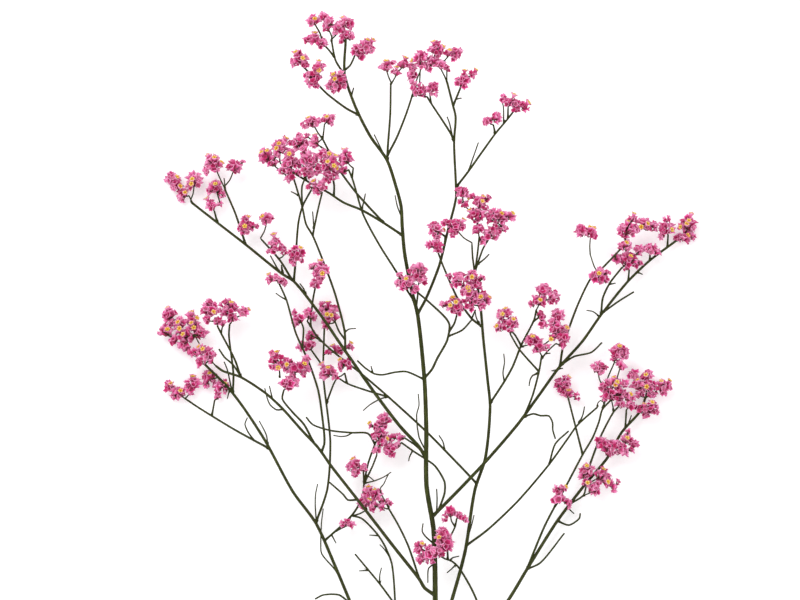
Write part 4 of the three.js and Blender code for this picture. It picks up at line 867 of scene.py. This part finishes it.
def funnels_of(head, axis, others):
    """Where one head's funnels stand: their root, and (tip, direction, size, has a flower) of each.

    They fan out from a root low in the head, with more of them on the side away from its twig."""
    radius = head.radius
    place = head.place - axis * LOW_MIDDLE * radius
    root = place - axis * ROOT_DEPTH * radius
    size = min(1.0, 0.5 + 0.11 * radius)
    found = []
    for x, y in head.flowers:
        across = np.array([x - place[0], y - place[1]])
        rise = math.sqrt(max(radius ** 2 - across.dot(across), (FLOWER_RISE * radius) ** 2))
        tip = place + np.array([*across, rise])
        found.append((tip, unit(tip - root), size, True))
    open_tips = [tip for tip, _, _, _ in found]
    count = max(5, round(0.55 * radius ** 2 + 3))
    for direction in spread_directions(count, rng.uniform(0, RANDOM_TURN)):
        direction = unit(direction + rng.normal(0, 0.2, 3))
        if np.dot(direction, axis) < LEAST_LEAN:
            continue
        tip = place + direction * radius * rng.uniform(*FUNNEL_REACH)
        if any(math.dist(tip, open_tip) < FLOWER_CLEAR for open_tip in open_tips):
            continue
        if any(math.dist(tip, other.place) < HEAD_CLEAR * other.radius for other in others):
            continue
        pointing = unit(unit(tip - root) + rng.normal(0, 0.22, 3))
        found.append((tip, pointing, size * rng.uniform(0.72, 1.12), False))
    return root, found


def add_pedicel(builder, start, end):
    """The short thin stalk of one funnel, from the head's root to the funnel's foot."""
    u, v, _ = frame_about(end - start)
    corners = [ring(place, u, v, PEDICEL_TURNS, width) for place, width in ((start, 0.3), (end, 0.26))]
    builder.add(np.vstack(corners), ring_faces(2, 3), turn_x=0, turn_y=0, along=0, dry=0.6, flush=1)


def add_funnel(into, root, tip, direction, size, is_open):
    """One funnel on its stalk, by chance with a bract, and with a flower in it if it is open."""
    length = min(size * FUNNEL_LENGTH, math.dist(tip, root))
    foot = tip - direction * length
    corners, faces, values = funnel_kinds[rng.integers(len(funnel_kinds))]
    roll = rng.uniform(0, RANDOM_TURN)
    wide = size * rng.uniform(0.86, 1.08)
    into["calyx"].add(place_template(corners, foot, direction, roll, wide, length / FUNNEL_LENGTH),
                      faces, tint=np.clip(rng.normal(0, 0.6), -1, 1), **values)
    if math.dist(foot, root) > 0.7:
        add_pedicel(into["twigs"], root, foot + direction * 0.2)
    if rng.uniform() < BRACT_CHANCE:
        outward = unit(np.cross(direction, rng.normal(0, 1, 3)))
        add_bract(into["twigs"], foot - direction * 0.4 + outward * 0.25, direction, outward,
                  FUNNEL_BRACT * size, flush=1)
    if is_open:
        seat = foot + direction * length * FLOWER_SEAT
        corners, faces, values = flower
        into["flowers"].add(place_template(corners, seat, direction, roll, FLOWER_RADIUS, FLOWER_HEIGHT),
                            faces, tint=rng.uniform(-1, 1), **values)


def dress_bunch(bunch, stems, into):
    """Adds one bunch's twigs, funnels, flowers and bracts to the pieces that are being built."""
    for i, head in enumerate(bunch):
        growth = unit(head.place - GROWTH_POINT)
        anchors = head.tips or [anchor_of(head, bunch[:i], stems)]
        away = head.place - anchors[0]
        axis = unit(growth + (unit(away) if np.linalg.norm(away) > SHORTEST_TWIG else 0))
        end = head.place - axis * TWIG_DEPTH * head.radius
        for anchor in anchors:
            length = math.dist(end, anchor)
            if length > SHORTEST_TWIG:
                bend = (end + anchor) / 2 - growth * TWIG_BEND * length
                line = smooth([anchor, bend, end], TWIG_STEP)
                add_tube(into["twigs"], line, *TWIG_WIDTH, around=TWIG_SIDES)
        if head.radius:
            others = [other for other in bunch if other is not head and other.radius]
            root, found = funnels_of(head, axis, others)
            for tip, direction, size, is_open in found:
                add_funnel(into, root, tip, direction, size, is_open)


# ---- Materials ----

class Look:
    """A material in the making. The methods that add a node give back its output."""

    def __init__(self, name, roughness, specular=0.25, sheen=0.0):
        self.material = bpy.data.materials.new(name)
        self.material.use_nodes = True
        self.nodes = self.material.node_tree.nodes
        self.sockets = self.nodes["Principled BSDF"].inputs
        self.sockets["Roughness"].default_value = roughness
        self.sockets["Specular IOR Level"].default_value = specular
        self.sockets["Sheen Weight"].default_value = sheen

    def give(self, socket, given):
        """Links an output to a socket, or sets a plain number or colour on it."""
        if isinstance(given, bpy.types.NodeSocket):
            self.material.node_tree.links.new(given, socket)
        else:
            socket.default_value = (*given, 1) if isinstance(given, tuple) else given

    def value(self, name):
        """A value that the mesh has on its corners."""
        node = self.nodes.new("ShaderNodeAttribute")
        node.attribute_name = name
        return node.outputs["Fac"]

    def noise(self, scale, detail, vector=None):
        """A noise over the place in the piece, or over a vector."""
        node = self.nodes.new("ShaderNodeTexNoise")
        node.inputs["Scale"].default_value = scale
        node.inputs["Detail"].default_value = detail
        if vector is None:
            vector = self.nodes.new("ShaderNodeTexCoord").outputs["Object"]
        self.give(node.inputs["Vector"], vector)
        return node.outputs["Fac"]

    def ramp(self, source, *stops):
        """A colour that runs from stop to stop, each (value of the source, colour)."""
        node = self.nodes.new("ShaderNodeValToRGB")
        elements = node.color_ramp.elements
        while len(elements) < len(stops):
            elements.new(0.5)
        for element, (position, colour) in zip(elements, stops):
            element.position = position
            element.color = (*colour, 1)
        self.give(node.inputs["Fac"], source)
        return node.outputs["Color"]

    def patches(self, source, low, high):
        """Where a noise is high: black below one level, white above the other."""
        return self.ramp(source, (low, (0, 0, 0)), (high, (1, 1, 1)))

    def calculate(self, operation, *given):
        node = self.nodes.new("ShaderNodeMath")
        node.operation = operation
        for socket, number in zip(node.inputs, given):
            self.give(socket, number)
        return node.outputs["Value"]

    def mix(self, first, second, share, by=1.0):
        """The first colour, turned towards the second by a share times a number."""
        node = self.nodes.new("ShaderNodeMix")
        node.data_type = "RGBA"
        inputs = {socket.identifier: socket for socket in node.inputs}
        self.give(inputs["Factor_Float"], self.calculate("MULTIPLY", share, by))
        self.give(inputs["A_Color"], first)
        self.give(inputs["B_Color"], second)
        return next(socket for socket in node.outputs if socket.identifier == "Result_Color")

    def finish(self, colour, height, strength, distance):
        """Takes the colour and a bump, and gives back the finished material."""
        node = self.nodes.new("ShaderNodeBump")
        node.inputs["Strength"].default_value = strength
        node.inputs["Distance"].default_value = distance
        self.give(node.inputs["Height"], height)
        self.give(self.sockets["Normal"], node.outputs["Normal"])
        self.give(self.sockets["Base Color"], colour)
        return self.material


def calyx_look():
    """Dry pink paper: dark magenta in the throat, pink outside, pale at the rim, with darker ribs. The dark
    throat and the near-black foot of each funnel are partly its own colour and partly painted shade deep in
    the head; the pale rim is partly painted highlight.
    """
    look = Look("papery_calyx", 0.6, sheen=0.08)
    out = look.value("out")
    # outside, by share of the length: a near-black brown foot and dark magenta low down, partly painted
    # shade among the funnels, up to a pale rim that is partly painted highlight
    outside = look.ramp(out, (0.0, (0.10, 0.06, 0.025)), (0.3, (0.44, 0.025, 0.09)),
                        (0.65, (0.77, 0.06, 0.30)), (1.0, (0.95, 0.40, 0.66)))
    # inside: near black deep in the throat as painted shade, then dark magenta that is partly its own
    # colour, up to a pale rim that is partly painted highlight
    inside = look.ramp(out, (0.66, (0.15, 0.002, 0.02)), (0.79, (0.40, 0.01, 0.08)),
                       (0.92, (0.82, 0.075, 0.35)), (1.0, (0.97, 0.56, 0.78)))
    colour = look.mix(outside, inside, look.value("inside"))
    tint = look.value("tint")
    colour = look.mix(colour, (0.52, 0.012, 0.12), tint, -0.7)
    colour = look.mix(colour, (0.97, 0.50, 0.71), tint, 0.45)
    mottle = look.noise(1100, 4)
    colour = look.mix(colour, (0.60, 0.03, 0.19), look.patches(mottle, 0.45, 0.62), 0.3)
    rib = look.calculate("POWER", look.value("rib"), 6.0)
    colour = look.mix(colour, (0.48, 0.02, 0.16), rib, 0.45)
    look.give(look.sockets["Roughness"], look.calculate("MULTIPLY_ADD", mottle, 0.25, 0.5))
    return look.finish(colour, mottle, 0.5, 0.0002)


def flower_look():
    """The small open flowers: yellow petals, orange in patches, and deeper orange at the heart, which is
    partly painted shade in the cup.
    """
    look = Look("yellow_flower", 0.55)
    mottle = look.noise(1500, 3)
    orange = look.calculate("MULTIPLY_ADD", look.value("tint"), 0.12,
                            look.calculate("MULTIPLY", mottle, 0.35))
    # darkest orange where out is low, at the heart of the cup, partly painted shade; yellow towards the
    # petal ends
    colour = look.ramp(look.calculate("SUBTRACT", look.value("out"), orange),
                       (0.0, (0.68, 0.26, 0.02)), (0.25, (0.82, 0.48, 0.06)), (0.5, (0.90, 0.70, 0.16)))
    return look.finish(colour, mottle, 0.4, 0.0002)


def stem_look():
    """A dry stalk: dark olive with lighter fibres along it, browner where it is thin and old, and
    flushed with magenta where it carries a single funnel."""
    look = Look("dry_stalk", 0.65, specular=0.15)
    drawn_out = look.nodes.new("ShaderNodeCombineXYZ")
    look.give(drawn_out.inputs["X"], look.value("turn_x"))
    look.give(drawn_out.inputs["Y"], look.value("turn_y"))
    look.give(drawn_out.inputs["Z"], look.calculate("MULTIPLY", look.value("along"), 0.035))
    fibres = look.noise(5.5, 6, drawn_out.outputs["Vector"])
    colour = look.ramp(fibres, (0.32, (0.006, 0.009, 0.001)), (0.5, (0.024, 0.032, 0.004)),
                       (0.72, (0.11, 0.13, 0.022)))
    colour = look.mix(colour, (0.04, 0.034, 0.010), look.patches(look.noise(60, 3), 0.45, 0.7), 0.4)
    colour = look.mix(colour, (0.045, 0.05, 0.017), look.value("dry"), 0.4)
    colour = look.mix(colour, (0.20, 0.05, 0.065), look.value("flush"), 0.8)
    return look.finish(colour, fibres, 0.7, 0.0003)


def cut_face_look():
    """The cut end of the main stem: pale dry pith inside a darker ring of fibres."""
    look = Look("cut_pith", 0.8)
    vessels = look.noise(2500, 3)
    out = look.calculate("ADD", look.value("out"), look.calculate("MULTIPLY", vessels, 0.25))
    colour = look.ramp(out, (0.3, (0.46, 0.40, 0.21)), (0.8, (0.30, 0.28, 0.11)), (1.0, (0.07, 0.08, 0.02)))
    return look.finish(colour, vessels, 0.6, 0.0002)


def table_look():
    """A pale table top that gives off a little light, as a light box does, so shadows stay faint."""
    look = Look("pale_table", 0.9)
    colour = look.ramp(look.noise(6, 2), (0.3, (0.80, 0.80, 0.80)), (0.7, (0.82, 0.82, 0.82)))
    look.give(look.sockets["Base Color"], colour)
    look.give(look.sockets["Emission Color"], (1, 1, 1))
    look.give(look.sockets["Emission Strength"], TABLE_GLOW)
    return look.material


# ---- Camera, light and table ----

def make_camera():
    data = bpy.data.cameras.new("camera")
    data.sensor_width = SENSOR_WIDTH
    data.lens = SENSOR_WIDTH * (CAMERA_HEIGHT - MIDDLE_DEPTH) / SEEN_WIDTH
    data.clip_end = 100
    place = Vector((*(SEEN_CENTRE - MIDDLE[:2]), CAMERA_HEIGHT)) * MM
    bpy.context.scene.camera = add_to_scene("camera", data, place)


def make_light():
    world = bpy.data.worlds.new("studio")
    bpy.context.scene.world = world
    world.use_nodes = True
    background = world.node_tree.nodes["Background"]
    background.inputs["Color"].default_value = (1, 1, 1, 1)
    background.inputs["Strength"].default_value = SKY_STRENGTH
    for name, (place, size, power) in LAMPS.items():
        data = bpy.data.lights.new(name, "AREA")
        data.size = size
        data.energy = power
        lamp = add_to_scene(name, data, place)
        lamp.rotation_euler = (-Vector(place)).to_track_quat("-Z", "Y").to_euler()
    bpy.context.scene.view_settings.view_transform = "Standard"


def make_table():
    mesh = bpy.data.meshes.new("table_top")
    corners = [(x * TABLE_HALF, y * TABLE_HALF, 0) for x, y in ((-1, -1), (1, -1), (1, 1), (-1, 1))]
    mesh.from_pydata(corners, [], [(0, 1, 2, 3)])
    mesh.materials.append(table_look())
    table = add_to_scene("table_top", mesh)


make_camera()
make_light()
make_table()

# ---- The stems ----

def make_stalks(branch, stems, look):
    """One branch's stems, each with a bract at its foot where it grows from another."""
    stalks = stalk_builder()
    for stem in stems:
        is_side_stem = stem.foot < MAIN_STEM[0]
        sides = next(count for width, count in STEM_SIDES if stem.foot > width)
        add_tube(stalks, stem.points, stem.foot, stem.tip, FLARE if is_side_stem else 0.0, around=sides)
        if is_side_stem:
            axis = stem.points[1] - stem.points[0]
            outward = unit(np.cross(axis, rng.normal(0, 1, 3)))
            place = stem.points[0] + outward * stem.foot * 0.3
            add_bract(stalks, place, axis, outward, rng.uniform(*FORK_BRACT))
    stalks.piece(f"{branch}_stalks", look, "stem", [branch])


stalk_material = stem_look()
main_line = Stem(*MAIN_STEM[:2], smooth(with_heights(MAIN_STEM[2:])), fine=False)
stems_of = {}
for branch in STEMS:
    stems_of[branch] = grow(branch, [main_line])
    make_stalks(branch, stems_of[branch], stalk_material)

cut_face = Builder("out")
add_cut_face(cut_face, stems_of["main_stem"][0])
cut_face.piece("cut_face", cut_face_look(), "stem")

# ---- The heads ----

calyx_material = calyx_look()
flower = flower_template()
funnel_kinds = [funnel_template() for _ in range(FUNNEL_KINDS)]   # add_funnel picks one of these
groups = read_heads()
hand_out([head for bunches in groups.values() for bunch in bunches for head in bunch],
         [stem for stems in stems_of.values() for stem in stems])

flowers = Builder("out", "tint")
for group, bunches in groups.items():
    carrier = "main_stem" if group == "heads_main" else group.replace("heads", "branch")
    calyx = Builder("out", "rib", "inside", "tint")
    twigs = stalk_builder()
    for bunch in bunches:
        dress_bunch(bunch, stems_of[carrier], {"calyx": calyx, "twigs": twigs, "flowers": flowers})
    replaced = [f"{group}_{number}" for number in range(1, len(bunches) + 1)]
    calyx.piece(f"{group}_funnels", calyx_material, "calyx", replaced)
    twigs.piece(f"{group}_twigs", stalk_material, "stem")
flowers.piece("open_flowers", flower_look(), "calyx")
